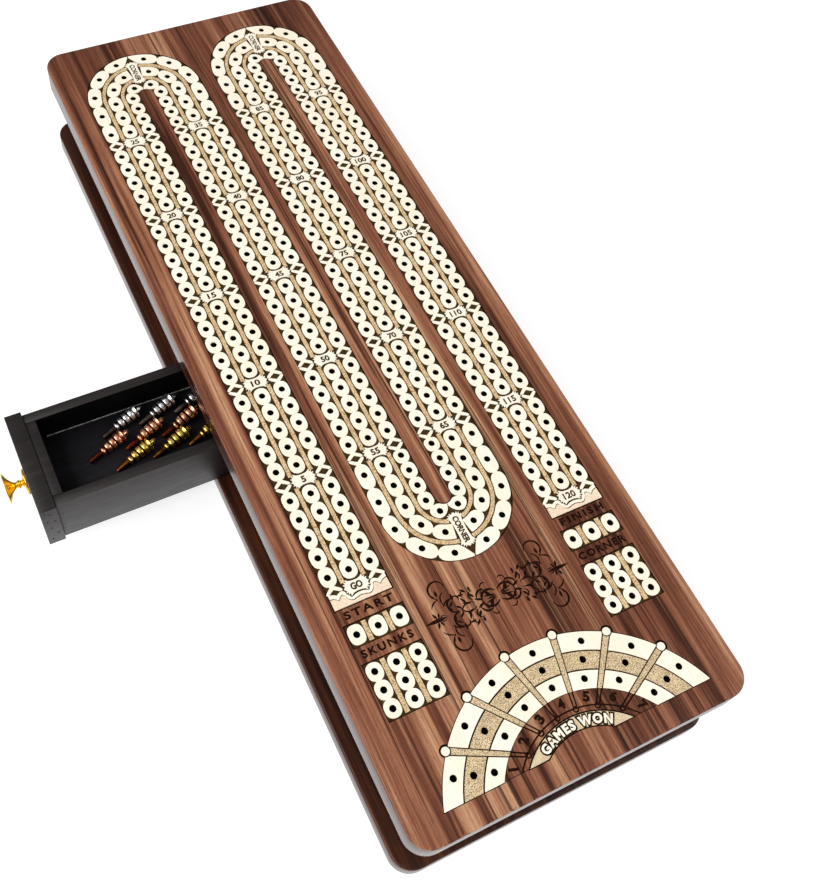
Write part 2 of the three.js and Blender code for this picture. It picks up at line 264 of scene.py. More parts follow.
def finished(name, mesh, body, smooth=35):
    """An object for the mesh, smooth where its faces meet at less than an angle, riding on a body."""
    mesh.polygons.foreach_set("use_smooth", [True] * len(mesh.polygons))
    mesh.update()
    mesh.set_sharp_from_angle(angle=math.radians(smooth))
    piece = bpy.data.objects.new(name, mesh)
    bpy.context.scene.collection.objects.link(piece)
    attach(piece, body)
    return piece


def lettering(text, height, width=None, spacing=1.0):
    """Outlines of words, centred on the origin, in the units of height.

    The insides of letters run the other way round.
    """
    curve = bpy.data.curves.new("lettering", "FONT")
    curve.body = text
    curve.space_character = spacing
    curve.resolution_u = 3
    writer = bpy.data.objects.new("lettering", curve)
    bpy.context.scene.collection.objects.link(writer)
    bpy.context.view_layer.update()
    mesh = bpy.data.meshes.new_from_object(writer)
    points = np.array([vertex.co[:2] for vertex in mesh.vertices])
    directed = set()
    for face in mesh.polygons:
        around = list(face.vertices)
        if face.normal.z < 0:
            around.reverse()
        directed |= {(around[k], around[(k + 1) % len(around)]) for k in range(len(around))}
    following = {}
    for a, b in directed:
        if (b, a) not in directed:
            following.setdefault(a, []).append(b)
    bpy.data.objects.remove(writer)
    bpy.data.curves.remove(curve)
    low, high = points.min(0), points.max(0)
    stretch = height / (high[1] - low[1])
    across = width / (high[0] - low[0]) if width else stretch
    points = (points - (low + high) / 2) * (across, stretch)
    loops = []
    for start in sorted(following):
        while following[start]:
            here, loop = following[start].pop(), [start]
            while here != start and following.get(here):
                loop.append(here)
                here = following[here].pop()
            if len(loop) > 2:
                loops.append([tuple(points[k]) for k in loop])
    bpy.data.meshes.remove(mesh)
    return loops


def widened(loops, distance):
    """The loops moved outwards by a distance, which makes the strokes of lettering bolder."""
    return [inset(loop, -distance) for loop in loops]


# ---------- materials ----------
def linear(red, green, blue):
    """A colour as Blender wants it, from the 0 to 255 of a paint chart."""
    channel = lambda c: c / 255 / 12.92 if c <= 10 else ((c / 255 + 0.055) / 1.055) ** 2.4
    return (channel(red), channel(green), channel(blue), 1.0)


class Paint:
    """A material and short ways to add nodes to it."""

    def __init__(self, name, **constants):
        self.material = bpy.data.materials.new(name)
        self.material.use_nodes = True
        self.tree = self.material.node_tree
        self.shader = self.tree.nodes["Principled BSDF"]
        for socket, value in constants.items():
            self.shader.inputs[socket.replace("_", " ")].default_value = value

    def node(self, kind, inputs, **settings):
        made = self.tree.nodes.new("ShaderNode" + kind)
        for key, value in settings.items():
            setattr(made, key, value)
        for key, value in inputs.items():
            self.feed(made.inputs[key], value)
        return made.outputs[0]

    def feed(self, socket, value):
        if isinstance(value, bpy.types.NodeSocket):
            self.tree.links.new(value, socket)
        else:
            socket.default_value = value

    def place(self, scale):
        """Object coordinates in millimetres times a scale for each axis."""
        coordinates = self.tree.nodes.new("ShaderNodeTexCoord")
        return self.node("Mapping", {
            "Vector": coordinates.outputs["Object"],
            "Scale": [value / MM for value in scale],
        })

    def axes(self):
        """Object coordinates in metres, one value for each axis."""
        coordinates = self.tree.nodes.new("ShaderNodeTexCoord")
        parted = self.tree.nodes.new("ShaderNodeSeparateXYZ")
        self.feed(parted.inputs[0], coordinates.outputs["Object"])
        return parted.outputs[0], parted.outputs[1], parted.outputs[2]

    def noise(self, vector, detail=3.0, roughness=0.5):
        return self.node("TexNoise", {
            "Vector": vector, "Scale": 1.0, "Detail": detail, "Roughness": roughness, "Distortion": 0.0,
        })

    def ramp(self, value, *stops):
        """stops are (position, grey or colour)."""
        made = self.tree.nodes.new("ShaderNodeValToRGB")
        made.color_ramp.interpolation = "LINEAR"
        elements = made.color_ramp.elements
        while len(elements) < len(stops):
            elements.new(0.5)
        for element, (position, colour) in zip(elements, stops):
            element.position = position
            element.color = colour if hasattr(colour, "__len__") else (colour,) * 3 + (1.0,)
        self.feed(made.inputs[0], value)
        return made.outputs[0]

    def math(self, operation, a, b=0.0, c=0.0):
        made = self.tree.nodes.new("ShaderNodeMath")
        made.operation = operation
        for socket, value in zip(made.inputs, (a, b, c)):
            self.feed(socket, value)
        return made.outputs[0]

    def mix(self, factor, a, b, blend="MIX"):
        made = self.tree.nodes.new("ShaderNodeMix")
        made.data_type = "RGBA"
        made.blend_type = blend
        self.feed(made.inputs[0], factor)
        self.feed(made.inputs[6], a)
        self.feed(made.inputs[7], b)
        return made.outputs[2]

    def colour(self, value):
        self.feed(self.shader.inputs["Base Color"], value)

    def rough(self, value):
        self.feed(self.shader.inputs["Roughness"], value)

    def bump(self, height, distance, strength=1.0):
        """distance in millimetres."""
        bumped = self.node("Bump", {"Height": height, "Distance": distance * MM, "Strength": strength})
        self.feed(self.shader.inputs["Normal"], bumped)


def wood(name, ramp, grain=(0.5, 0.006), fine=(3.5, 0.05), contrast=0.35, along=1,
         gloss=(0.3, 0.45), **constants):
    """Streaked wood with its grain along one axis.

    grain and fine are features per millimetre, across and along the grain.
    """
    paint = Paint(name, **constants)
    spread = lambda across, lengthwise: [lengthwise if axis == along else across for axis in range(3)]
    warp = paint.noise(paint.place(spread(0.02, 0.006)), 2.0)
    place = paint.place(spread(*grain))
    push = paint.node("CombineXYZ", {0: warp, 1: warp, 2: warp})
    bend = paint.node("VectorMath", {0: place, 1: push}, operation="ADD")
    streak = paint.noise(bend, 5.0, 0.62)
    pores = paint.noise(paint.place(spread(*fine)), 3.0, 0.6)
    base = paint.ramp(streak, *ramp)
    shade = paint.ramp(pores, (0.3, 1 - contrast), (0.62, 1.0))
    paint.colour(paint.mix(1.0, base, shade, "MULTIPLY"))
    paint.rough(paint.ramp(pores, (0.3, gloss[1]), (0.6, gloss[0])))
    paint.bump(pores, 0.05, 0.5)
    return paint.material


def rosewood(name, shade=1.0, **constants):
    """Rosewood veneer: tan to dark streaks, thin dark lines and open pores, calmer at the far end."""
    paint = Paint(name, **constants)
    drift = paint.noise(paint.place((0.012, 0.003, 0.012)), 2.0)
    shift = paint.node("CombineXYZ", {0: paint.math("MULTIPLY_ADD", drift, 7.0, -3.5), 1: 0.0, 2: 0.0})

    def layer(across, along, detail, roughness, seed):
        moved = paint.node("VectorMath", {0: paint.place((1.0, 1.0, 1.0)), 1: shift}, operation="ADD")
        spun = paint.node("Mapping", {
            "Vector": moved, "Scale": (across, along, across), "Location": (seed, seed * 0.7, 0),
        })
        return paint.noise(spun, detail, roughness)

    band = layer(0.085, 0.0018, 8.0, 0.72, 3.1)
    patch = layer(0.045, 0.0035, 2.0, 0.5, 11.7)
    line = layer(0.62, 0.005, 4.0, 0.62, 5.3)
    fibre = layer(3.0, 0.05, 3.0, 0.6, 8.8)
    pore = layer(5.5, 0.45, 2.0, 0.5, 1.9)

    across, along, _ = paint.axes()
    reach = paint.math("MULTIPLY_ADD", along, 1 / 0.375, 0.5)
    far = paint.ramp(reach, (0.80, 0.0), (0.97, 0.4))
    near = paint.ramp(reach, (0.18, 0.03), (0.33, 0.0))
    tone = paint.ramp(
        paint.math("MULTIPLY_ADD", across, 1 / 0.131, 0.5),
        (0.10, 0.475), (0.27, 0.550), (0.50, 0.528), (0.73, 0.495), (0.93, 0.420))
    spread = paint.math("SUBTRACT", 1.25, far)
    lean = paint.math("MULTIPLY_ADD", patch, 0.16, -0.065)
    swing = paint.math("MULTIPLY", paint.math("ADD", paint.math("SUBTRACT", band, 0.5), lean), spread)
    ground = paint.ramp(
        paint.math("ADD", swing, paint.math("SUBTRACT", tone, near)),
        (0.35, linear(44, 22, 15)), (0.43, linear(76, 40, 28)), (0.48, linear(106, 61, 44)),
        (0.54, linear(132, 81, 60)), (0.60, linear(160, 108, 80)), (0.67, linear(198, 150, 116)))
    lined = paint.mix(paint.ramp(line, (0.37, 0.8), (0.45, 0.0)), ground, linear(50, 25, 16))
    lit = paint.mix(paint.ramp(line, (0.56, 0.0), (0.66, 0.35)), lined, linear(196, 144, 106))
    grained = paint.mix(1.0, lit, paint.ramp(fibre, (0.3, 0.72 * shade), (0.62, 1.06 * shade)), "MULTIPLY")
    paint.colour(paint.mix(1.0, grained, paint.ramp(pore, (0.30, 0.6), (0.40, 1.0)), "MULTIPLY"))
    paint.rough(paint.ramp(fibre, (0.3, 0.5), (0.65, 0.36)))
    paint.bump(paint.ramp(pore, (0.3, 0.0), (0.42, 1.0)), 0.04, 0.6)
    return paint.material


def speckled(name, light, dark, size=2.6):
    """Maple toned by fine laser dots."""
    paint = Paint(name, Specular_IOR_Level=0.3)
    dots = paint.noise(paint.place((size, size, size)), 2.0, 0.55)
    patches = paint.noise(paint.place((0.25, 0.25, 0.25)), 2.0)
    spots = paint.ramp(dots, (0.43, 1.0), (0.49, 0.0))
    base = paint.mix(paint.ramp(patches, (0.35, 0.0), (0.65, 0.22)), light, dark)
    paint.colour(paint.mix(spots, base, dark))
    paint.rough(paint.ramp(dots, (0.35, 0.75), (0.55, 0.5)))
    paint.bump(dots, 0.04, 0.6)
    return paint.material


def maple_cream():
    """Pale maple with faint lengthwise fibres."""
    paint = Paint("maple_cream", Specular_IOR_Level=0.35)
    fibre = paint.noise(paint.place((2.4, 0.12, 2.4)), 3.0, 0.6)
    cloud = paint.noise(paint.place((0.06, 0.03, 0.06)), 2.0)
    drift = paint.ramp(cloud, (0.35, 0.0), (0.65, 1.0))
    tone = paint.mix(drift, linear(250, 240, 220), linear(252, 245, 230))
    paint.colour(paint.mix(paint.ramp(fibre, (0.35, 0.35), (0.55, 0.0)), tone, linear(236, 216, 176)))
    paint.rough(paint.ramp(fibre, (0.35, 0.5), (0.6, 0.38)))
    paint.bump(fibre, 0.02, 0.4)
    return paint.material


def burnt(name, light, dark):
    """Wood charred by the laser."""
    paint = Paint(name, Specular_IOR_Level=0.06)
    fine = 1.6                    # flakes per millimetre
    char = paint.noise(paint.place((fine, fine * 0.4, fine)), 3.0, 0.65)
    paint.colour(paint.mix(paint.ramp(char, (0.35, 0.0), (0.65, 1.0)), dark, light))
    paint.rough(paint.ramp(char, (0.35, 0.85), (0.65, 0.65)))
    paint.bump(char, 0.05, 0.6)
    return paint.material


def metal(name, colour, shade, rough):
    """Polished metal with fine turning marks and a little tarnish."""
    paint = Paint(name, Metallic=1.0)
    marks = paint.noise(paint.place((1.2, 1.2, 1.2)), 4.0, 0.6)
    film = paint.noise(paint.place((0.35, 0.35, 0.35)), 2.0)
    paint.colour(paint.mix(paint.ramp(film, (0.4, 0.0), (0.7, 1.0)), colour, shade))
    paint.rough(paint.ramp(marks, (0.3, rough), (0.7, rough * 2.1)))
    paint.bump(marks, 0.01, 0.25)
    return paint.material


ROSEWOOD = rosewood("rosewood_veneer", Specular_IOR_Level=0.12)
SCORCHED = rosewood("scorched_rosewood", 0.84, Specular_IOR_Level=0.1)
CREAM = maple_cream()
SPECKLED = speckled("maple_speckled", linear(232, 210, 170), linear(124, 94, 56), 3.2)
LABEL_TONE = speckled("maple_label", linear(238, 220, 186), linear(160, 130, 90), 4.0)
DIVIDER = speckled("maple_divider", linear(228, 202, 160), linear(160, 122, 78), 2.6)
PINKISH = speckled("maple_pinkish", linear(244, 226, 204), linear(226, 196, 164))
CHAR_MAPLE = burnt("burnt_maple", linear(78, 58, 28), linear(38, 26, 12))
CHAR_ROSEWOOD = burnt("burnt_rosewood", linear(46, 21, 12), linear(16, 7, 4))
CHAR_FAN = burnt("burnt_fan", linear(54, 36, 14), linear(24, 15, 6))
HOLE_DARK = burnt("peg_hole_wall", linear(40, 26, 14), linear(12, 8, 6))
PANEL_EDGE = wood(
    "panel_edge",
    ((0.35, linear(34, 17, 12)), (0.5, linear(62, 34, 25)), (0.7, linear(96, 56, 42))),
    gloss=(0.2, 0.3), Specular_IOR_Level=0.32)
DARK_WOOD, DARK_WOOD_ACROSS = (
    wood(
        name,
        ((0.3, linear(28, 11, 5)), (0.5, linear(56, 26, 14)), (0.7, linear(88, 46, 24))),
        grain=(0.45, 0.01), fine=(2.2, 0.12), contrast=0.5, along=along, gloss=(0.3, 0.5),
        Specular_IOR_Level=0.2)
    for name, along in (("dark_wood", 1), ("dark_wood_across", 0)))
BLACK_WOOD = wood(
    "black_wood",
    ((0.3, linear(20, 15, 15)), (0.5, linear(29, 22, 22)), (0.7, linear(43, 32, 31))),
    grain=(0.4, 0.02), fine=(2.5, 0.15), along=0, gloss=(0.36, 0.5))
DRAWER_FLOOR = wood(
    "drawer_floor_wood",
    ((0.3, linear(9, 8, 12)), (0.5, linear(15, 12, 17)), (0.7, linear(30, 25, 34))),
    grain=(0.3, 0.03), fine=(1.8, 0.4), contrast=0.4, along=0, gloss=(0.5, 0.7), Specular_IOR_Level=0.2)
# A near-black copy of the drawer's wood for the faces inside its box: painted shade inside the drawer.
INSIDE_PAINTED_SHADE = wood(
    "inside_painted_shade_wood",
    ((0.3, linear(5, 4, 4)), (0.5, linear(8, 7, 7)), (0.7, linear(12, 9, 9))),
    grain=(0.4, 0.02), fine=(2.5, 0.15), along=0, gloss=(0.6, 0.75), Specular_IOR_Level=0.04)
BRASS = metal("polished_brass", linear(252, 208, 84), linear(240, 184, 50), 0.2)
STEEL = metal("screw_steel", linear(150, 150, 152), linear(96, 94, 92), 0.3)
# Light grey for the strip at the foot of the drawer's far side: a painted glint.
GLINT_GREY = speckled("painted_glint_grey", linear(150, 148, 144), linear(96, 92, 88), 1.2)
SILVER = metal("peg_silver", linear(250, 250, 252), linear(226, 226, 226), 0.19)
# Dark copies of the peg metals for the shanks and the grooves between beads: painted shade and painted dark
# reflection.
SILVER_PAINTED_SHADE = metal("peg_silver_painted_shade", linear(78, 68, 64), linear(40, 34, 34), 0.24)
COPPER = metal("peg_copper", linear(246, 178, 142), linear(226, 140, 102), 0.19)
COPPER_PAINTED_SHADE = metal("peg_copper_painted_shade", linear(92, 36, 20), linear(46, 16, 9), 0.24)
GOLD = metal("peg_gold", linear(252, 226, 128), linear(236, 196, 84), 0.19)
GOLD_PAINTED_SHADE = metal("peg_gold_painted_shade", linear(118, 70, 24), linear(64, 34, 10), 0.24)


# ---------- the board's panels ----------
def rounded_rectangle(low, high, radius):
    """A loop round a rectangle with round corners, anticlockwise."""
    loop = []
    corners = ((high[0] - radius, high[1] - radius, 0), (low[0] + radius, high[1] - radius, 90),
               (low[0] + radius, low[1] + radius, 180), (high[0] - radius, low[1] + radius, 270))
    for x, y, first in corners:
        for k in range(CORNER_STEPS + 1):
            angle = math.radians(first + 90 * k / CORNER_STEPS)
            loop.append((x + radius * math.cos(angle), y + radius * math.sin(angle)))
    return loop


def panel(form, low, high, cuts=(), base_holes=()):
    """A panel with rounded edges. Slot 0 is its face, slot 1 its edge.

    cuts are regions open at the face, base_holes loops open underneath.
    """
    outline = rounded_rectangle(low, high, CORNER_RADIUS)
    rings = []
    for k in range(EDGE_STEPS + 1):
        angle = math.pi / 2 * k / EDGE_STEPS
        rings.append((EDGE_ROUND * (1 - math.sin(angle)), low[2] + EDGE_ROUND * (1 - math.cos(angle))))
    for k in range(EDGE_STEPS + 1):
        angle = math.pi / 2 * k / EDGE_STEPS
        rings.append((EDGE_ROUND * (1 - math.cos(angle)), high[2] - EDGE_ROUND * (1 - math.sin(angle))))
    loops = [inset(outline, depth) for depth, _ in rings]
    heights = [height for _, height in rings]
    for one, two, lower, upper in zip(loops, loops[1:], heights, heights[1:]):
        form.wall(one, lower, upper, 0 if upper > high[2] - EDGE_ROUND * 0.7 else 1, two)
    form.sheet([loops[0]] + [hole(loop) for loop in base_holes], low[2], 1, up=False)
    form.sheet([loops[-1]] + [loop[::-1] for loop in cuts], high[2], 0)


# ---------- the track: legs, turns and their lanes, in pitches ----------
def straight_walk(u, v, side):
    """A lane that runs up a leg from a mark. Returns a function of the distance along it."""
    across = u + side * LANE

    def walk(distance, off=0.0):
        return on_face(across + off, v + distance)
    return walk


def turn_walk(centre, turn_v, mark_v, radius, left):
    """A lane from the mark before or after a U-turn to its apex. off is positive away from the centre."""
    up = 1 if turn_v > mark_v else -1
    rise = abs(turn_v - mark_v)
    hand = -1 if left else 1

    def walk(distance, off=0.0):
        reach = radius + off
        angle = max(0.0, distance - rise) / radius
        x = centre + hand * reach * math.cos(angle)
        y = mark_v + up * (min(distance, rise) + reach * math.sin(angle))
        return on_face(x, y)
    walk.length = rise + radius * math.pi / 2
    return walk


BEAD = 0.365                      # in pitches: half the width of a bead
BEAD_POWER = 2.7
NECK_REACH = 0.014                # a bead's rounding would close this far past its neck
SHORT_BEAD = 0.53                 # in pitches: longer beads are straight in the middle
ROUND_END, CAP_END = 0.44, 0.40   # in pitches: an end bead's rounding, in the track and on a plate
# From the apex of a turn: the corner of a middle lane's end, then the slanted tip of a side lane.
FLAT_END, FLAT_CORNER = 0.36, 0.335
TIP_END, TIP_REACH = 0.03, 0.62
TIP_WIDTH, TIP_POWER = 0.04, 1.7


def bead_width(distance, half_length):
    """Half the width of a bead at a distance from its hole. Long beads keep the rounding of a short one."""
    reach = min(half_length + NECK_REACH, SHORT_BEAD)
    t = max(0.0, distance - (half_length + NECK_REACH - reach)) / reach
    return BEAD * math.sqrt(max(0.0, 1 - t ** BEAD_POWER))


# The fish-tail that ends a side lane at a mark: distance from the mark, then half the width.
TAIL = ((0.34, 0.10), (0.30, 0.145), (0.25, 0.205), (0.19, 0.285), (0.12, 0.36), (0.06, 0.385), (0.02, 0.365),
        (0.012, 0.27))
TAIL_NOTCH = 0.185                # how far the tail is cut back on the lane's line


def chain_sides(holes, end_kinds, length):
    """The right and left edge of a chain of beads as lists of (distance, offset), right side first."""
    first_kind, last_kind = end_kinds
    right, left = [], []
    middles = [(a + b) / 2 for a, b in zip(holes, holes[1:])]

    def end_side(kind, at_hole, towards, total):
        """Points from the end bead's middle outwards. towards is -1 at the start of the lane."""
        limit = at_hole if towards < 0 else total - at_hole
        along = lambda gone: gone if towards < 0 else total - gone
        pair = []
        if kind in ("round", "cap"):
            half = ROUND_END if kind == "round" else CAP_END
            for k in range(1, 13):
                d = half * math.sin(math.pi / 2 * k / 12)
                width = BEAD * math.sqrt(max(0.0, 1 - (d / half) ** BEAD_POWER))
                pair.append((along(limit - d), width, -width))
        elif kind == "tail":
            neck = limit - TAIL[0][0]
            for k in range(1, 8):
                d = neck * k / 8
                width = bead_width(d, neck)
                pair.append((along(limit - d), width, -width))
            for gone, width in TAIL:
                pair.append((along(gone), width, -width))
            pair.append((along(TAIL_NOTCH), 0.0, 0.0))
        elif kind == "flat":
            for k in range(1, 6):
                d = (limit - FLAT_END) * k / 5
                pair.append((along(limit - d), BEAD, -BEAD))
            pair.append((along(FLAT_CORNER), BEAD * 0.93, -BEAD * 0.93))
        else:
            outward = 1 if kind == "tip_out" else -1
            for k in range(1, 13):
                gone = limit * (1 - k / 12) + TIP_END * k / 12
                t = max(0.0, 1 - gone / min(limit, TIP_REACH))
                other = -BEAD + (2 * BEAD - TIP_WIDTH) * t ** TIP_POWER
                here, there = outward * BEAD, outward * other
                pair.append((along(gone), max(here, there), min(here, there)))
        return pair

    start = end_side(first_kind, holes[0], -1, length)
    finish = end_side(last_kind, holes[-1], 1, length)
    for d, high, low in reversed(start):
        right.append((d, high))
        left.append((d, low))
    for index, here in enumerate(holes):
        before = here - middles[index - 1] if index else 0
        after = middles[index] - here if index < len(holes) - 1 else 0
        for reach, sign in ((before, -1), (after, 1)):
            count = 9
            steps = range(count, 0, -1) if sign < 0 else range(0, count)
            if not reach:
                continue
            for k in steps:
                d = reach * k / count
                width = bead_width(d, reach)
                right.append((here + sign * d, width))
                left.append((here + sign * d, -width))
        if index == len(holes) - 1:
            right.append((here, BEAD))
            left.append((here, -BEAD))
    for d, high, low in finish:
        right.append((d, high))
        left.append((d, low))
    return right, left


def tidy_loop(loop, least=0.02):
    """The loop without points that lie on one another."""
    kept = []
    for point in loop:
        if not kept or math.dist(point, kept[-1]) > least:
            kept.append(point)
    while len(kept) > 3 and math.dist(kept[0], kept[-1]) <= least:
        kept.pop()
    return kept


def chain_loops(walk, holes, kinds, length):
    right, left = chain_sides(holes, kinds, length)
    outline = [walk(d, off) for d, off in right] + [walk(d, off) for d, off in reversed(left)]
    middles = [walk(d) for d in holes]
    return [outer(tidy_loop(outline))] + [hole(circle(x, y, HOLE_RADIUS)) for x, y in middles], middles


def strip_loop(walk, first, last, half, off, steps=24):
    """A narrow strip beside a lane, square at both ends."""
    distances = [first + (last - first) * k / steps for k in range(steps + 1)]
    one = [walk(d, off + half) for d in distances]
    two = [walk(d, off - half) for d in reversed(distances)]
    return outer(tidy_loop(one + two))


HOLES_PER_MARK = 5
WORD_BOLD = 0.022                 # in pitches: how far the strokes of words are widened
STRIP_OFF = LANE / 2
STRIP_HALF = 0.094
STRIP_END, APEX_GAP = 0.31, 0.34  # in pitches: a mark, or an apex, to the end of a divider strip

# Outer, middle and inner lane of a turn, in pitches: a mark to its hole, and the apex to its hole.
TURN_ENDS = ((0.92, 0.83), (0.77, 0.755), (0.647, 0.5))

beads, strips, ground_holes = [], [], []
for index, leg in enumerate(LEGS):
    outer_leg = index in (0, 3)
    for mark in range(0 if outer_leg else 1, 5):
        v = mark * MARK
        holes = [FIRST_HOLE + k for k in range(HOLES_PER_MARK)]
        for side in (-1, 0, 1):
            walk = straight_walk(leg, v, side)
            kind = "round" if side == 0 else "tail"
            loops, middles = chain_loops(walk, holes, (kind, kind), MARK)
            beads.append(loops)
            ground_holes += middles
        for side in (-1, 1):
            walk = straight_walk(leg, v, 0)
            strips.append(strip_loop(walk, STRIP_END, MARK - STRIP_END, STRIP_HALF, side * STRIP_OFF, 2))

TURNS = (
    (-2 * TURN_RADIUS, FAR_TURN, 5 * MARK),
    (0.0, NEAR_TURN, MARK),
    (2 * TURN_RADIUS, FAR_TURN, 5 * MARK),
)
for centre, turn_v, mark_v in TURNS:
    for left in (True, False):
        for lane_index, (from_mark, from_apex) in enumerate(TURN_ENDS):
            radius = TURN_RADIUS + (1 - lane_index) * LANE
            walk = turn_walk(centre, turn_v, mark_v, radius, left)
            last = walk.length - from_apex
            holes = [from_mark + (last - from_mark) * k / (HOLES_PER_MARK - 1) for k in range(HOLES_PER_MARK)]
            kinds = (("tail", "tip_out"), ("round", "flat"), ("tail", "tip_in"))[lane_index]
            loops, middles = chain_loops(walk, holes, kinds, walk.length)
            beads.append(loops)
            ground_holes += middles
        for off in (STRIP_OFF, -STRIP_OFF):
            walk = turn_walk(centre, turn_v, mark_v, TURN_RADIUS + off, left)
            strips.append(strip_loop(walk, STRIP_END, walk.length - APEX_GAP, STRIP_HALF, 0.0))

# Numbered plaques on the middle lane: the lower right quarter of one, from its middle line outwards.
PLAQUE = ((0.0, -0.25), (0.14, -0.26), (0.27, -0.29), (0.40, -0.385), (0.385, -0.245), (0.50, -0.29),
          (0.445, -0.175), (0.575, -0.195), (0.49, -0.09), (0.56, -0.06), (0.535, -0.035), (0.62, 0.0))


def plaque_loop(quarter):
    """A closed outline from its lower right quarter, the same in all four."""
    right = list(quarter) + [(x, -y) for x, y in reversed(quarter[:-1])]
    left = [(-x, y) for x, y in reversed(right[1:-1])]
    return outer(tidy_loop(right + left, 1e-4))


plaques, corner_plaques = [], []
# Each leg's marks in the order of play, and the number at the first of them.
ROUTE = ((range(6), 0), (range(5, 0, -1), 35), (range(1, 6), 65), (range(5, -1, -1), 95))
NUMBER_HEIGHT, NUMBER_BOLD = 0.30, 0.024
NUMBER_WIDTHS = {"GO": 0.52, 1: 0.18, 2: 0.41, 3: 0.60}     # in pitches, by how many digits
for leg, (marks, first_number) in zip(LEGS, ROUTE):
    for k, mark in enumerate(marks):
        text = str(first_number + HOLES_PER_MARK * k)
        if text == "0":
            text = "GO"
        x, y = on_face(leg, mark * MARK)
        wide = NUMBER_WIDTHS.get(text) or NUMBER_WIDTHS[len(text)]
        letters = widened(lettering(text, NUMBER_HEIGHT, wide), NUMBER_BOLD)
        outline = placed(scaled(plaque_loop(PLAQUE)), x, y)
        plaques.append([outline] + [placed(scaled(loop), x, y)[::-1] for loop in letters])

# The corner plaque, lying along the turn's radius: its lower right quarter.
CORNER_EDGE = ((0.0, -0.24), (0.30, -0.25), (0.52, -0.28), (0.70, -0.385), (0.69, -0.25), (0.82, -0.30),
               (0.745, -0.175), (0.87, -0.19), (0.78, -0.09), (0.86, -0.06), (0.83, -0.03), (0.90, 0.0))


for centre, turn_v, mark_v in TURNS:
    up = 1 if turn_v > mark_v else -1
    x, y = on_face(centre, turn_v + up * TURN_RADIUS)
    letters = widened(lettering("CORNER", height=0.27, width=1.32), WORD_BOLD)
    turn = -math.pi / 2
    outline = placed(scaled(plaque_loop(CORNER_EDGE)), x, y, turn)
    corner_plaques.append([outline] + [placed(scaled(loop), x, y, turn)[::-1] for loop in letters])

# End plates under the GO and 120 plaques: a wavy cream border over a toned base.
# Right halves, from the outside in.
BORDER_TOP = (
    (1.36, 0.02), (1.2, -0.01), (1.09, -0.06), (1.0, -0.115), (0.93, -0.07), (0.82, -0.02), (0.70, -0.02),
    (0.63, -0.07), (0.585, -0.16), (0.60, -0.235), (0.53, -0.27), (0.48, -0.33), (0.455, -0.415),
    (0.38, -0.43), (0.26, -0.375), (0.12, -0.345), (0.0, -0.335))
BORDER_FOOT = (
    (1.36, -0.16), (1.2, -0.19), (1.09, -0.26), (1.0, -0.345), (0.94, -0.27), (0.85, -0.19), (0.75, -0.165),
    (0.69, -0.22), (0.65, -0.34), (0.58, -0.45), (0.48, -0.53), (0.36, -0.55), (0.2, -0.50), (0.0, -0.465))
BORDER_GAP = 0.045                # in pitches: between the border and the base below it


def mirrored(half):
    """A line from its right half, running from left to right."""
    return [(-x, y) for x, y in half] + [(x, y) for x, y in reversed(half[:-1])]


end_borders, end_bases = [], []
for index in (0, 3):
    x, y = on_face(LEGS[index], 0)
    border = mirrored(BORDER_TOP) + mirrored(BORDER_FOOT)[::-1]
    base = [(a, b - BORDER_GAP) for a, b in mirrored(BORDER_FOOT)]
    base += [(1.37, LEG_END + 0.03), (-1.37, LEG_END + 0.03)]
    around = [(a * 1.06, b * 1.12) for a, b in plaque_loop(PLAQUE)]
    end_borders.append([outer(tidy_loop(placed(scaled(border), x, y))), placed(scaled(around), x, y)[::-1]])
    end_bases.append([outer(tidy_loop(placed(scaled(base), x, y)))])


def track_outline():
    """The whole band, anticlockwise."""
    half = BAND
    big, small = TURN_RADIUS + half, TURN_RADIUS - half
    first, last = LEGS[0], LEGS[3]

    def arc(u, v, r, start, end, steps):
        angles = [math.radians(start + (end - start) * k / steps) for k in range(steps + 1)]
        return [on_face(u + r * math.cos(angle), v + r * math.sin(angle)) for angle in angles]

    loop = [on_face(first - half, LEG_END)]
    loop += arc(-2 * TURN_RADIUS, FAR_TURN, big, 180, 0, 48)
    loop += arc(0, NEAR_TURN, small, 180, 360, 24)
    loop += arc(2 * TURN_RADIUS, FAR_TURN, big, 180, 0, 48)
    loop += [on_face(last + half, LEG_END), on_face(last - half, LEG_END)]
    loop += arc(2 * TURN_RADIUS, FAR_TURN, small, 0, 180, 24)
    loop += arc(0, NEAR_TURN, big, 360, 180, 48)
    loop += arc(-2 * TURN_RADIUS, FAR_TURN, small, 0, 180, 24)
    loop += [on_face(first + half, LEG_END)]
    return outer(tidy_loop(loop))


# ---------- the small plates, in pitches ----------
PLATE_ROW = 0.845
# Name, middle, rows of holes, and how far the ground reaches beyond its rows, both ends together.
PLATES = (
    ("start", (-5.45, -2.02), 1, 1.02), ("skunks", (-5.45, -4.6), 3, 0.86),
    ("finish", (5.51, -1.98), 1, 1.02), ("corner", (5.51, -4.55), 3, 0.86),
)
PLATE_HALF = 1.4
PLATE_STRIP_END, PLATE_STRIP_HALF = 0.05, 0.105
OVAL_LENGTH, OVAL_POWER = 0.455, 0.72   # the lone bead of a one-row plate


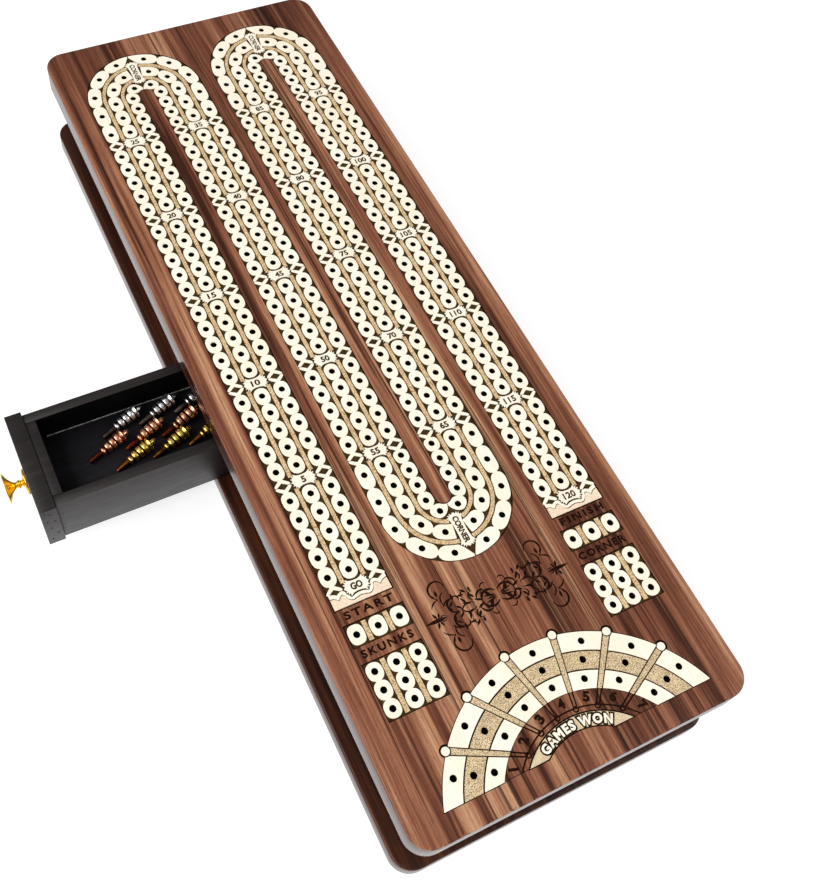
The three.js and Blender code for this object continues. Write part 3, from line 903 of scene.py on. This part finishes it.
def small_plate(centre, rows, margin):
    """Ground outline, bead loops, strip loops and hole middles of a small plate."""
    half_length = ((rows - 1) * PLATE_ROW + margin) / 2
    x, y = on_face(*centre)
    w, h = PLATE_HALF * PITCH, half_length * PITCH
    ground = [(x - w, y - h), (x + w, y - h), (x + w, y + h), (x - w, y + h)]
    made, bars, middles = [], [], []
    start = centre[1] - half_length
    for side in (-1, 0, 1):
        walk = straight_walk(centre[0], start, side)
        holes = [margin / 2 + PLATE_ROW * k for k in range(rows)]
        if rows == 1:
            rim = []
            for k in range(40):
                angle = 2 * math.pi * k / 40
                c, s = math.cos(angle), math.sin(angle)
                across, along = (math.copysign(abs(value) ** OVAL_POWER, value) for value in (c, s))
                rim.append((across * BEAD, along * OVAL_LENGTH))
            mx, my = walk(holes[0])
            made.append([placed(scaled(rim), mx, my), hole(circle(mx, my, HOLE_RADIUS))])
            middles.append((mx, my))
            continue
        loops, spots = chain_loops(walk, holes, ("cap", "cap"), 2 * half_length)
        made.append(loops)
        middles += spots
    for side in (-1, 1):
        walk = straight_walk(centre[0], start, 0)
        end = 2 * half_length - PLATE_STRIP_END
        bars.append(strip_loop(walk, PLATE_STRIP_END, end, PLATE_STRIP_HALF, side * STRIP_OFF, 2))
    return ground, made, bars, middles


# ---------- the games-won fan ----------
FAN = (0.05, -12.36)              # in pitches, as all of the fan: the middle of its rings
RAY_RISE = 1.76                   # from there up to the point that the spokes spread from
FAN_BASE = 2.43                   # from there up to the base line
FAN_RINGS = ((6.145, 6.95), (5.32, 6.075), (4.475, 5.25))      # outer, middle, inner
FAN_HOLES = (6.54, 5.73, 4.91)
HOLE_RAYS = (-73.3, -51.5, -27.0, 0.0, 27.0, 51.5, 73.3)
SPOKE_RAYS = (-62.9, -39.1, -13.1, 13.1, 39.1, 62.9)
HEAD_RADIUS, HEAD_AT = 0.185, 6.99
HEAD_GAP = 0.055                  # the dark line round a head
FOOT_RADIUS, FOOT_AT = 0.11, 3.75
SPOKE_FOOT, SPOKE_SPREAD = 0.07, 0.065  # half the width of a spoke at its foot, and what its head adds
SECTOR_GAP = 0.055                # beside a spoke
DIGITS_AT = 4.17
ARC_AT = 3.79                     # the drawn arc that the feet stand on
LABEL_RING = (2.925, 3.54)


def fan_point(radius, degrees):
    """A point by its distance and direction from the rings' middle."""
    angle = math.radians(degrees)
    return on_face(FAN[0] + radius * math.sin(angle), FAN[1] + radius * math.cos(angle))


def ray_direction(radius, degrees, side):
    """The direction from the rings' middle of the point where a ray, moved sideways, meets a circle."""
    ahead = Vector((math.sin(math.radians(degrees)), math.cos(math.radians(degrees))))
    start = Vector((0, RAY_RISE)) + side * Vector((ahead.y, -ahead.x))
    along = start.dot(ahead)
    point = start + ahead * (math.sqrt(radius ** 2 - start.length_squared + along ** 2) - along)
    return math.degrees(math.atan2(point.x, point.y))


def ray_point(radius, degrees, side=0.0):
    return fan_point(radius, ray_direction(radius, degrees, side))


def spoke_half(radius):
    """Half the width of a tapered spoke."""
    return SPOKE_FOOT + (radius - FOOT_AT) / (HEAD_AT - FOOT_AT) * SPOKE_SPREAD


def ring_part(inner, outer_radius, limits, steps):
    """A piece of a ring. limits gives a radius its first and last direction, in degrees."""
    points = []
    for radius in (outer_radius, inner):
        a, b = limits(radius)
        angles = [a + (b - a) * k / steps for k in range(steps + 1)]
        points += [fan_point(radius, angle) for angle in (angles if radius == outer_radius else angles[::-1])]
    return outer(tidy_loop(points))


def ring_sector(inner, outer_radius, from_ray, to_ray):
    """A piece of a ring between two spokes, or between a spoke and the base line when a ray is None."""
    def edge(radius, ray, sign):
        if ray is None:
            return -sign * math.degrees(math.acos(FAN_BASE / radius))
        return ray_direction(radius, ray, sign * (spoke_half(radius) + SECTOR_GAP))

    limits = lambda radius: (edge(radius, from_ray, 1), edge(radius, to_ray, -1))
    return ring_part(inner, outer_radius, limits, 18)


def ring_loop(inner, outer_radius, base):
    """A piece of a ring that ends at the base line on both sides."""
    limit = lambda radius: math.degrees(math.acos(base / radius))
    return ring_part(inner, outer_radius, lambda radius: (-limit(radius), limit(radius)), 64)


def spoke_head(ray, radius):
    return circle(*ray_point(HEAD_AT, ray), radius * PITCH, 32)


fan_cream, fan_toned, fan_heads, fan_middles = [], [], [], []
borders = [None, *SPOKE_RAYS, None]
head_holes = [spoke_head(ray, HEAD_RADIUS + HEAD_GAP) for ray in SPOKE_RAYS]
fan_ground = [ring_loop(FAN_RINGS[2][0], FAN_RINGS[0][1], FAN_BASE)] + head_holes
head_rims = [loop[::-1] for loop in head_holes]
for ray, from_ray, to_ray in zip(HOLE_RAYS, borders, borders[1:]):
    for ring, (inner, outer_radius) in enumerate(FAN_RINGS):
        x, y = ray_point(FAN_HOLES[ring], ray)
        loops = [ring_sector(inner, outer_radius, from_ray, to_ray), hole(circle(x, y, HOLE_RADIUS))]
        (fan_toned if ring == 1 else fan_cream).append(loops + (head_rims if ring == 0 else []))
        fan_middles.append((x, y))
for ray in SPOKE_RAYS:
    inner, outer_radius = FAN_RINGS[2][0], HEAD_AT - 0.1
    fan_toned.append([outer([
        ray_point(radius, ray, sign * spoke_half(radius))
        for radius, sign in ((outer_radius, -1), (inner, -1), (inner, 1), (outer_radius, 1))])] + head_rims)
    fan_heads.append([spoke_head(ray, HEAD_RADIUS)])


def bent(loops, radius):
    """Lettering laid along an arc of the fan, its middle at the top."""
    made = []
    for loop in loops:
        dense = []
        for (x0, y0), (x1, y1) in zip(loop, loop[1:] + loop[:1]):
            count = max(1, int(math.dist((x0, y0), (x1, y1)) / 0.08))
            dense += [(x0 + (x1 - x0) * k / count, y0 + (y1 - y0) * k / count) for k in range(count)]
        made.append([fan_point(radius + y, math.degrees(x / radius)) for x, y in dense])
    return made


# ---------- engraving on the rosewood, in pitches ----------
def stroke(points, widths):
    """A tapered line as a closed loop. points in pitches."""
    path = np.array(points, float)
    ahead = np.gradient(path, axis=0)
    ahead /= np.maximum(np.linalg.norm(ahead, axis=1, keepdims=True), 1e-9)
    normal = np.stack([-ahead[:, 1], ahead[:, 0]], 1)
    w = np.interp(np.linspace(0, 1, len(path)), np.linspace(0, 1, len(widths)), widths)[:, None]
    loop = [tuple(p) for p in path + normal * w] + [tuple(p) for p in (path - normal * w)[::-1]]
    return outer(tidy_loop([on_face(x, y) for x, y in loop], 0.03))


CURL_STEPS = 22


def curl(x, y, start, sweep, radius, shrink):
    """Points of a spiral that starts at a point, heading along an angle in degrees, and winds inwards."""
    points = [(x, y)]
    heading = math.radians(start)
    for k in range(CURL_STEPS):
        t = (k + 0.5) / CURL_STEPS
        r = radius * (1 - (1 - shrink) * t)
        turn = math.radians(sweep) / CURL_STEPS
        heading += turn / 2
        step = abs(turn) * r
        x, y = x + step * math.cos(heading), y + step * math.sin(heading)
        heading += turn / 2
        points.append((x, y))
    return points


def leaf(x, y, direction, length, width):
    """A pointed leaf as a loop."""
    angle = math.radians(direction)
    shape = []
    for k in range(13):
        t = k / 12
        shape.append((t * length, width * math.sin(math.pi * t) * (1 - 0.35 * t)))
    shape += [(a, -b) for a, b in reversed(shape[1:-1])]
    return outer([on_face(*p) for p in placed(shape, x, y, angle)])


# One quarter of the scroll ornament, in pitches from its middle.
# Scrolls: start, heading, sweep, radius, how far it shrinks, half widths along it.
SCROLLS = (
    (0.05, 0.22, 50, -150, 0.50, 0.62, (0.02, 0.06, 0.05, 0.02)),
    (0.98, 0.08, 78, 165, 0.40, 0.45, (0.015, 0.05, 0.045, 0.015)),
    (1.02, 0.62, 10, -190, 0.26, 0.45, (0.015, 0.04, 0.015)),
    (1.15, 0.10, 35, -120, 0.55, 0.55, (0.015, 0.04, 0.015)),
    (1.95, 0.68, 5, -215, 0.38, 0.70, (0.015, 0.045, 0.04, 0.015)),
    (1.98, 0.70, 160, 170, 0.22, 0.35, (0.03, 0.04, 0.012)),
    (1.96, 0.66, 15, -75, 0.55, 0.80, (0.015, 0.04, 0.02)),
    (2.35, 0.42, 40, 120, 0.42, 0.80, (0.015, 0.04, 0.02)),
    (2.62, 0.86, 30, 240, 0.45, 0.78, (0.018, 0.05, 0.04, 0.015)),
    (2.60, 0.84, -5, -60, 0.60, 0.80, (0.02, 0.04, 0.012)),
    (2.62, 0.05, 60, -150, 0.16, 0.50, (0.01, 0.03, 0.012)),
    (1.55, 0.50, 60, 150, 0.20, 0.50, (0.012, 0.035, 0.012)),
    (0.62, 0.50, 80, 160, 0.24, 0.50, (0.012, 0.035, 0.012)),
)
# Leaves: foot, direction, length, half width.
LEAVES = (
    (0.10, 0.05, 12, 0.62, 0.06), (0.30, 0.10, 48, 0.42, 0.07), (0.46, 0.12, 78, 0.34, 0.07),
    (0.72, 0.14, 100, 0.34, 0.06), (0.75, 0.06, 25, 0.42, 0.07), (1.05, 0.30, 55, 0.40, 0.07),
    (1.10, 0.62, 85, 0.26, 0.07), (1.30, 0.66, 45, 0.34, 0.07), (1.42, 0.62, 5, 0.40, 0.06),
    (1.32, 0.14, 20, 0.40, 0.07), (1.50, 0.22, 60, 0.36, 0.07), (2.00, 0.55, 95, 0.34, 0.07),
    (2.05, 0.52, -40, 0.34, 0.06), (2.58, 0.95, 95, 0.34, 0.07), (2.70, 0.92, 60, 0.30, 0.06),
    (3.02, 0.06, 70, 0.34, 0.07), (2.95, 0.05, 110, 0.30, 0.06), (1.78, 0.08, 40, 0.34, 0.06),
    (2.20, 0.10, 65, 0.32, 0.06), (2.36, 0.44, 120, 0.26, 0.06),
)
FLOURISH_AT = (0.02, -2.9)
WORD_HEIGHT = 0.33                # in pitches
WORD_SPACING = 1.3


def flourish():
    """A scroll ornament, the same in its four quarters."""
    loops = []
    for across in (1, -1):
        for up in (1, -1):
            turned = lambda x, y: (FLOURISH_AT[0] + across * x, FLOURISH_AT[1] + up * y)
            for *path, widths in SCROLLS:
                loops.append(stroke([turned(x, y) for x, y in curl(*path)], widths))
            for x, y, direction, length, width in LEAVES:
                angle = math.radians(direction)
                angle = math.degrees(math.atan2(up * math.sin(angle), across * math.cos(angle)))
                loops.append(leaf(*turned(x, y), angle, length, width))
        side = 0 if across > 0 else 180
        for x, length, width in ((2.55, 1.1, 0.11), (0.1, 0.5, 0.05)):
            loops.append(leaf(FLOURISH_AT[0] + across * x, FLOURISH_AT[1], side, length, width))
    return loops


def word(text, centre_u, centre_v, width):
    x, y = on_face(centre_u, centre_v)
    letters = widened(lettering(text, WORD_HEIGHT, width, WORD_SPACING), WORD_BOLD)
    return [placed(scaled(loop), x, y) for loop in letters]


engraved = []
engraved += word("START", -5.46, -1.10, 2.3)
engraved += word("SKUNKS", -5.46, -2.91, 2.4)
engraved += word("FINISH", 5.52, -1.07, 2.25)
engraved += word("CORNER", 5.50, -2.87, 2.45)
engraved += flourish()

label_ground = ring_loop(*LABEL_RING, FAN_BASE)

# The band round the numbers of the fan: scorched rosewood, cut through by the drawn lines.
NUMBER_BAND = (LABEL_RING[1] + 0.02, FAN_RINGS[2][0])
LINE = 0.037                      # in pitches: half the width of a drawn line
BAND_LOWERED = 0.06               # in millimetres: the scorched band below the face

number_band = [ring_loop(NUMBER_BAND[0] + 0.02, NUMBER_BAND[1] - 0.02, FAN_BASE + 0.03)]
lines = [ring_loop(ARC_AT - LINE, ARC_AT + LINE, FAN_BASE)]
for ray in SPOKE_RAYS:
    for side in (-1, 1):
        lines.append(outer([
            ray_point(radius, ray, side * spoke_half(radius) + shift)
            for radius, shift in ((NUMBER_BAND[1], -LINE), (FOOT_AT + 0.08, -LINE),
                                  (FOOT_AT + 0.08, LINE), (NUMBER_BAND[1], LINE))]))
    x, y = ray_point(FOOT_AT, ray)
    lines.append(circle(x, y, (FOOT_RADIUS + LINE) * PITCH, 24))
    lines.append(circle(x, y, (FOOT_RADIUS - LINE) * PITCH, 24)[::-1])
for number, ray in enumerate(HOLE_RAYS, 1):
    x, y = ray_point(DIGITS_AT, ray)
    for loop in widened(lettering(str(number), 0.39, 0.25 if number > 1 else None), 0.036):
        lines.append(placed(scaled(loop), x, y, -math.radians(ray)))
number_band += [loop[::-1] for loop in lines]

LABEL_TEXT = lettering("GAMES WON", height=0.37, width=3.5, spacing=1.26)
LABEL_TEXT_AT = 3.225             # in pitches: the arc that the letters are centred on
label_letters = bent(widened(LABEL_TEXT, 0.024), LABEL_TEXT_AT)
label_shadow = bent(widened(LABEL_TEXT, 0.105), LABEL_TEXT_AT)


# ---------- building the board ----------
track_ground = track_outline()
small_plates = {name: small_plate(centre, rows, margin) for name, centre, rows, margin in PLATES}

deep_cuts = widened([track_ground, *fan_ground, label_ground], POCKET_GAP)
deep_cuts += widened([made[0] for made in small_plates.values()], POCKET_GAP)
shallow_cuts = [ring_loop(NUMBER_BAND[0] + 0.001, NUMBER_BAND[1], FAN_BASE)] + engraved

form = Form()
panel(form, PANEL_LOW, PANEL_HIGH, deep_cuts + shallow_cuts)
deep = INLAY_BOTTOM - POCKET_GAP
form.pocket(deep_cuts, deep, FACE, 2, 2)
form.pocket(shallow_cuts, GROUND, FACE, 2, 2)
top_panel = form.build("top_panel_rosewood", (ROSEWOOD, PANEL_EDGE, CHAR_ROSEWOOD), "board")
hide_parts("top_panel")


def holed(loops, spots):
    return list(loops) + [hole(circle(x, y, HOLE_RADIUS + HOLE_BURN, 20)) for x, y in spots]


def inlay(name, node, ground, spots, layers, char=CHAR_MAPLE):
    """A pocket's charred ground with its holes, and the raised pieces on it.

    layers are (suffix, loop sets, material, chamfer).
    """
    form = Form()
    form.prism(holed(ground, spots), INLAY_BOTTOM, GROUND, 0, 1)
    base = form.build(name + "_ground", (char, HOLE_DARK), "board")
    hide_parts(node)
    for suffix, sets, material, chamfer in layers:
        form = Form()
        for loops in sets:
            if chamfer:
                form.plate(loops, GROUND - SUNK, FACE, chamfer)
            else:
                form.prism(loops, GROUND - SUNK, FACE)
        piece = form.build(name + "_" + suffix, (material,), "board")


inlay("track", "track_inlay", [track_ground], ground_holes, (
    ("beads", beads, CREAM, 0.07),
    ("divider_strips", [[loop] for loop in strips], DIVIDER, 0.05),
    ("numbered_plaques", plaques, CREAM, 0.0),
    ("corner_plaques", corner_plaques, CREAM, 0.0),
    ("end_borders", end_borders, CREAM, 0.0),
    ("end_bases", end_bases, PINKISH, 0.0),
))
for name, (ground, made, bars, middles) in small_plates.items():
    inlay(name + "_plate", name + "_inlay", [ground], middles, (
        ("beads", made, CREAM, 0.07), ("strips", [[loop] for loop in bars], DIVIDER, 0.05)))
inlay("games_fan", "games_fan_inlay", fan_ground, fan_middles, (
    ("cream", fan_cream, CREAM, 0.0),
    ("toned", fan_toned, SPECKLED, 0.0),
    ("spoke_heads", fan_heads, CREAM, 0.1),
), CHAR_FAN)

form = Form()
form.prism([label_ground], INLAY_BOTTOM, GROUND, 0, 0)
label_base = form.build("games_label_ground", (CHAR_FAN,), "board")
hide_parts("games_label_inlay")
form = Form()
form.prism([inset(label_ground, 0.2)] + [loop[::-1] for loop in label_shadow], GROUND - SUNK, FACE)
form.build("games_label_toned", (LABEL_TONE,), "board")
form = Form()
form.prism(label_letters, GROUND - SUNK, FACE)
form.build("games_label_letters", (CREAM,), "board")
form = Form()
form.prism(number_band, GROUND - SUNK, FACE - BAND_LOWERED)
form.build("fan_number_band", (SCORCHED,), "board")


# ---------- the base, its screws and the frame ----------
SCREW_HEAD, SCREW_SHANK = 3.5, 1.75
SCREW_CLEAR = 0.3                 # round a screw in its sunk hole
SINK_DEPTH = 2.4

screw_spots = []
for index in range(1, 9):
    low, high = box_mm(f"base_screw_{index}")
    screw_spots.append(((low[0] + high[0]) / 2, (low[1] + high[1]) / 2, low[2], high[2]))

form = Form()
sunk_holes = [circle(x, y, SCREW_HEAD + SCREW_CLEAR, 32) for x, y, _, _ in screw_spots]
panel(form, BASE_LOW, BASE_HIGH, base_holes=sunk_holes)
for x, y, low, high in screw_spots:
    wide, narrow = circle(x, y, SCREW_HEAD + SCREW_CLEAR, 32), circle(x, y, SCREW_SHANK + SCREW_CLEAR, 32)
    form.wall(wide[::-1], BASE_LOW[2], BASE_LOW[2] + SINK_DEPTH, 1, narrow[::-1])
    form.sheet([narrow], BASE_LOW[2] + SINK_DEPTH, 1, up=False)
base_panel = form.build("bottom_panel_wood", (DARK_WOOD, PANEL_EDGE), "board")
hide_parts("bottom_panel")

CROSS, CROSS_REACH = 0.55, 2.0    # half the width and the length of the cross recess's arms
CROSS_DEPTH = 1.1
for index, (x, y, low, high) in enumerate(screw_spots, 1):
    form = Form()
    quarter = [(CROSS, CROSS), (CROSS_REACH, CROSS), (CROSS_REACH, -CROSS)]
    half = quarter + [(b, -a) for a, b in quarter]
    cross = outer(placed(half + [(-a, -b) for a, b in half], x, y, 0.4 * index))
    rim = circle(x, y, SCREW_HEAD - 0.15, 32)
    form.sheet([rim, cross[::-1]], low, 0, up=False)
    form.sheet([cross], low + CROSS_DEPTH, 0, up=False)
    form.wall(cross[::-1], low, low + CROSS_DEPTH, 0)
    stages = ((SCREW_HEAD - 0.15, low), (SCREW_HEAD, low + 0.25), (SCREW_SHANK, low + 2.2),
              (SCREW_SHANK, high - 3.0), (0.15, high - 0.05))
    for (r0, z0), (r1, z1) in zip(stages, stages[1:]):
        form.wall(circle(x, y, r0, 32), z0, z1, 0, circle(x, y, r1, 32))
    form.sheet([circle(x, y, stages[-1][0], 32)], stages[-1][1], 0)
    screw = form.build(f"screw_{index}", (STEEL,), "board")
    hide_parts(f"base_screw_{index}")


def soften(node, name, material, width, body, reach=0.0, inner=None):
    """A copy of a frame node with its edges rounded over.

    reach moves its highest end along X. inner is a direction and the material of the faces
    that look that way.
    """
    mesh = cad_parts[node].data.copy()
    end = max(vertex.co.x for vertex in mesh.vertices)
    for vertex in mesh.vertices:
        if end - vertex.co.x < 1e-5:
            vertex.co.x += reach * MM
    mesh.materials.clear()
    mesh.materials.append(material)
    work = bmesh.new()
    work.from_mesh(mesh)
    bmesh.ops.remove_doubles(work, verts=work.verts, dist=WELD)
    bmesh.ops.dissolve_limit(work, angle_limit=math.radians(1), verts=work.verts, edges=work.edges)
    edges = [edge for edge in work.edges if edge.is_manifold and edge.calc_face_angle(0) > math.radians(50)]
    bmesh.ops.bevel(
        work, geom=edges, offset=width * MM, segments=2, profile=0.5, affect="EDGES", clamp_overlap=True)
    work.to_mesh(mesh)
    work.free()
    mesh.polygons.foreach_set("material_index", [0] * len(mesh.polygons))
    if inner:
        mesh.materials.append(inner[1])
        for face in mesh.polygons:
            face.material_index = int(face.normal.dot(Vector(inner[0])) > 0.9)
    piece = finished(name, mesh, body)
    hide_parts(node)


for node in ("left_rail_near", "left_rail_far", "right_rail"):
    soften(node, node + "_wood", DARK_WOOD, 0.3, "board")
for node in ("near_rail", "far_rail", "drawer_guide_near", "drawer_guide_far"):
    soften(node, node + "_wood", DARK_WOOD_ACROSS, 0.3, "board")

# ---------- the drawer ----------
FACING_REACH = 0.17               # closes most of the glue line behind the facing
soften("drawer_facing", "drawer_facing_wood", BLACK_WOOD, 0.12, "drawer", FACING_REACH)
# Faces that look into the drawer take the near-black copy, painted shade.
for node, inwards in (
        ("drawer_box_front", (1, 0, 0)), ("drawer_side_near", (0, 1, 0)),
        ("drawer_side_far", (0, -1, 0)), ("drawer_back", (-1, 0, 0))):
    soften(node, node + "_wood", BLACK_WOOD, 0.12, "drawer", inner=(inwards, INSIDE_PAINTED_SHADE))
soften("drawer_floor", "drawer_floor_wood", DRAWER_FLOOR, 0.15, "drawer")

# A light grey strip along the foot of the far side: a painted glint where the floor meets the side.
SEAM = 0.3
_, FLOOR_HIGH = box_mm("drawer_floor")
SIDE_LOW, SIDE_HIGH = box_mm("drawer_side_far")
form = Form()
seam_near, seam_ends = SIDE_LOW[1] - SEAM, (SIDE_LOW[0] + 6.5, SIDE_HIGH[0] - 8.0)
seam_far = SIDE_LOW[1] + SUNK
form.prism([[(seam_ends[0], seam_near), (seam_ends[1], seam_near), (seam_ends[1], seam_far),
             (seam_ends[0], seam_far)]], FLOOR_HIGH[2] - SUNK, FLOOR_HIGH[2] + SEAM)
form.build("floor_seam_painted_glint", (GLINT_GREY,), "drawer")

KNOB_LOW, KNOB_HIGH = box_mm("drawer_knob")
KNOB_RIM = (KNOB_HIGH[1] - KNOB_LOW[1]) / 2
KNOB_Y = (KNOB_HIGH[1] + KNOB_LOW[1]) / 2
KNOB_Z = (KNOB_HIGH[2] + KNOB_LOW[2]) / 2
# Radius and distance out from the drawer front.
KNOB_PROFILE = (
    (0.0, -0.15), (5.05, -0.15), (5.18, 0.0), (5.2, 0.3), (5.12, 0.55), (4.8, 0.74), (3.9, 0.84), (2.6, 0.98),
    (1.9, 1.15), (1.45, 1.5), (1.25, 1.9), (1.3, 2.25), (1.6, 2.55), (1.72, 2.9), (1.6, 3.3), (1.3, 3.6),
    (1.22, 3.95), (1.3, 4.4), (1.65, 4.95), (2.3, 5.6), (3.1, 6.2), (4.1, 6.75), (5.1, 7.2), (5.85, 7.5),
    (KNOB_RIM, 7.68), (KNOB_RIM, 7.95), (KNOB_RIM - 0.12, 8.08), (5.5, 8.05), (4.6, 7.9), (3.4, 7.75),
    (1.8, 7.8), (0.0, 7.88),
)
form = Form()
form.lathe(KNOB_PROFILE, 48, lambda a, b, h: (KNOB_HIGH[0] - h, KNOB_Y + a, KNOB_Z + b))
knob = form.build("knob_brass", (BRASS,), "drawer", 40)
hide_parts("drawer_knob")
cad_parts["knob_stud"].data.materials[0] = STEEL

# Pin heads on the near end of the facing: distance in from its front, and down from its top.
FRONT_LOW, FRONT_HIGH = box_mm("drawer_facing")
form = Form()
for inwards, below in ((1.6, 2.2), (3.4, 3.6), (1.8, 9.0), (4.4, 9.6), (2.6, 14.5), (4.6, 20.0), (1.9, 23.5)):
    x, z = FRONT_LOW[0] + inwards, FRONT_HIGH[2] - below
    form.lathe(
        ((0.0, 0.0), (0.34, 0.0), (0.42, 0.06), (0.42, 0.5), (0.0, 0.5)), 14,
        lambda a, b, h: (x + a, FRONT_LOW[1] - 0.05 + h, z + b))
form.build("facing_pin_heads", (HOLE_DARK,), "drawer")

# ---------- the pegs ----------
PEG_YAW = math.radians(20)
PEG_BUTT, PEG_FLARE, PEG_FLARE_AT = 0.95, 2.9, 16.3
PEG_TILT = math.asin((PEG_FLARE - PEG_BUTT) / PEG_FLARE_AT)
PEG_AXIS = Vector((
    math.cos(PEG_TILT) * math.cos(PEG_YAW), math.cos(PEG_TILT) * math.sin(PEG_YAW), math.sin(PEG_TILT)))
PEG_SIDE = Vector((-math.sin(PEG_YAW), math.cos(PEG_YAW), 0))
PEG_UP = PEG_AXIS.cross(PEG_SIDE)
# Radius and distance from the butt, in millimetres. The beads follow.
PEG_PROFILE = [
    (0.0, 0.0), (0.72, 0.02), (0.88, 0.08), (0.95, 0.22), (1.23, 6.1), (1.4, 6.2), (1.62, 6.38), (1.7, 6.65),
    (1.66, 6.95), (1.46, 7.3), (1.4, 7.75)]
SHANK_END, COLLAR_END = 6.1, 7.3
FIRST_BEAD, BEAD_STEP = 9.1, 2.4
# Three fat beads with narrow grooves between them: radius, then the height of the middle.
for radius, middle in ((2.15, 9.1), (2.4, 11.5), (2.6, 13.9)):
    for k in range(11):
        t = -1 + 0.2 * k
        swell = (1 - abs(t) ** 4) ** 0.5 if abs(t) < 1 else 0.0
        PEG_PROFILE.append((radius * (0.74 + 0.05 * t + 0.26 * swell), middle + 1.1 * t))
PEG_PROFILE += [
    (1.98, 15.12), (2.2, 15.4), (2.62, 15.85), (2.84, 16.12), (2.9, 16.3), (2.8, 16.48), (1.9, 16.72),
    (1.1, 16.95), (0.95, 17.2), (0.98, 17.6), (0.85, 18.3), (0.5, 19.0), (0.2, 19.33), (0.0, 19.4)]
# Each stretch of the profile is bright (0), or takes the dark copy of its metal in the grooves and on the shank
# (1): painted shade and painted dark reflection.
PEG_SLOTS = []
for (r0, h0), (r1, h1) in zip(PEG_PROFILE, PEG_PROFILE[1:]):
    middle = (h0 + h1) / 2
    in_beads = FIRST_BEAD - BEAD_STEP / 2 < middle < FIRST_BEAD + 2.5 * BEAD_STEP
    off_bead = abs((middle - FIRST_BEAD + BEAD_STEP / 2) % BEAD_STEP - BEAD_STEP / 2)
    groove = in_beads and off_bead > 0.80
    PEG_SLOTS.append(int(middle < SHANK_END or groove or COLLAR_END < middle < FIRST_BEAD - BEAD_STEP / 2))
# Each peg takes its bright metal and a dark copy of it, the painted shade.
for metal_name, material, painted_shade_metal in (
        ("silver", SILVER, SILVER_PAINTED_SHADE), ("copper", COPPER, COPPER_PAINTED_SHADE), ("gold", GOLD, GOLD_PAINTED_SHADE)):
    for column in (1, 2, 3):
        node = f"{metal_name}_peg_{column}"
        corners = [vertex.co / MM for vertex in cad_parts[node].data.vertices]
        least = min(corner.dot(PEG_AXIS) for corner in corners)
        butt = [corner for corner in corners if corner.dot(PEG_AXIS) < least + 0.01]
        start = sum(butt, Vector()) / len(butt)
        form = Form()
        form.lathe(PEG_PROFILE, 32, lambda a, b, h: start + PEG_AXIS * h + PEG_SIDE * a + PEG_UP * b,
                   seam_slots=PEG_SLOTS)
        peg = form.build(f"{metal_name}_marker_{column}", (material, painted_shade_metal), node, 40)
        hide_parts(node)

# ---------- stage, light and camera ----------
FLOOR_HALF, FLOOR_Z = 6.0, -0.0002      # in metres
floor_mesh = bpy.data.meshes.new("floor")
corners = ((-1, -1), (1, -1), (1, 1), (-1, 1))
floor_mesh.from_pydata([(a * FLOOR_HALF, b * FLOOR_HALF, FLOOR_Z) for a, b in corners], [], [(0, 1, 2, 3)])
floor = bpy.data.objects.new("floor", floor_mesh)
bpy.context.scene.collection.objects.link(floor)
floor_paint = Paint(
    "floor_white", Base_Color=(0.4, 0.4, 0.4, 1.0), Roughness=0.9, Specular_IOR_Level=0.1,
    Emission_Color=(1.0, 1.0, 1.0, 1.0), Emission_Strength=0.76)
floor_mesh.materials.append(floor_paint.material)

world = bpy.data.worlds.new("studio")
world.use_nodes = True
world.node_tree.nodes["Background"].inputs["Color"].default_value = (1.0, 1.0, 1.0, 1.0)
world.node_tree.nodes["Background"].inputs["Strength"].default_value = 0.28
bpy.context.scene.world = world


def softbox(name, place, target, size, power):
    """A square area light that looks at a point. Lengths in metres."""
    data = bpy.data.lights.new(name, "AREA")
    data.shape = "SQUARE"
    data.size = size
    data.energy = power
    lamp = bpy.data.objects.new(name, data)
    lamp.location = place
    lamp.rotation_euler = (Vector(target) - Vector(place)).to_track_quat("-Z", "Y").to_euler()
    bpy.context.scene.collection.objects.link(lamp)


softbox("key", (-1.5, -0.1, 1.15), (0, 0, 0), 1.9, 47)
softbox("fill", (1.2, -0.9, 1.3), (0, 0, 0), 1.2, 16)

# The photograph's viewing angle: right and up are the picture's axes, and the place is in millimetres.
camera_data = bpy.data.cameras.new("camera")
camera_data.sensor_width = 36.0
camera_data.lens = 44.463
camera_data.shift_x = 0.0562
camera_data.shift_y = -0.0505
camera_data.clip_start = 0.01
camera = bpy.data.objects.new("camera", camera_data)
right = Vector((0.895791, -0.433988, 0.095978))
up = Vector((0.327154, 0.789963, 0.518584))
back = right.cross(up).normalized()
up = back.cross(right).normalized()
basis = Matrix((right, up, back)).transposed()
camera.matrix_world = Matrix.Translation(Vector((-135.24, -211.78, 405.98)) * MM) @ basis.to_4x4()
bpy.context.scene.collection.objects.link(camera)
bpy.context.scene.camera = camera
bpy.context.scene.view_settings.view_transform = "Standard"
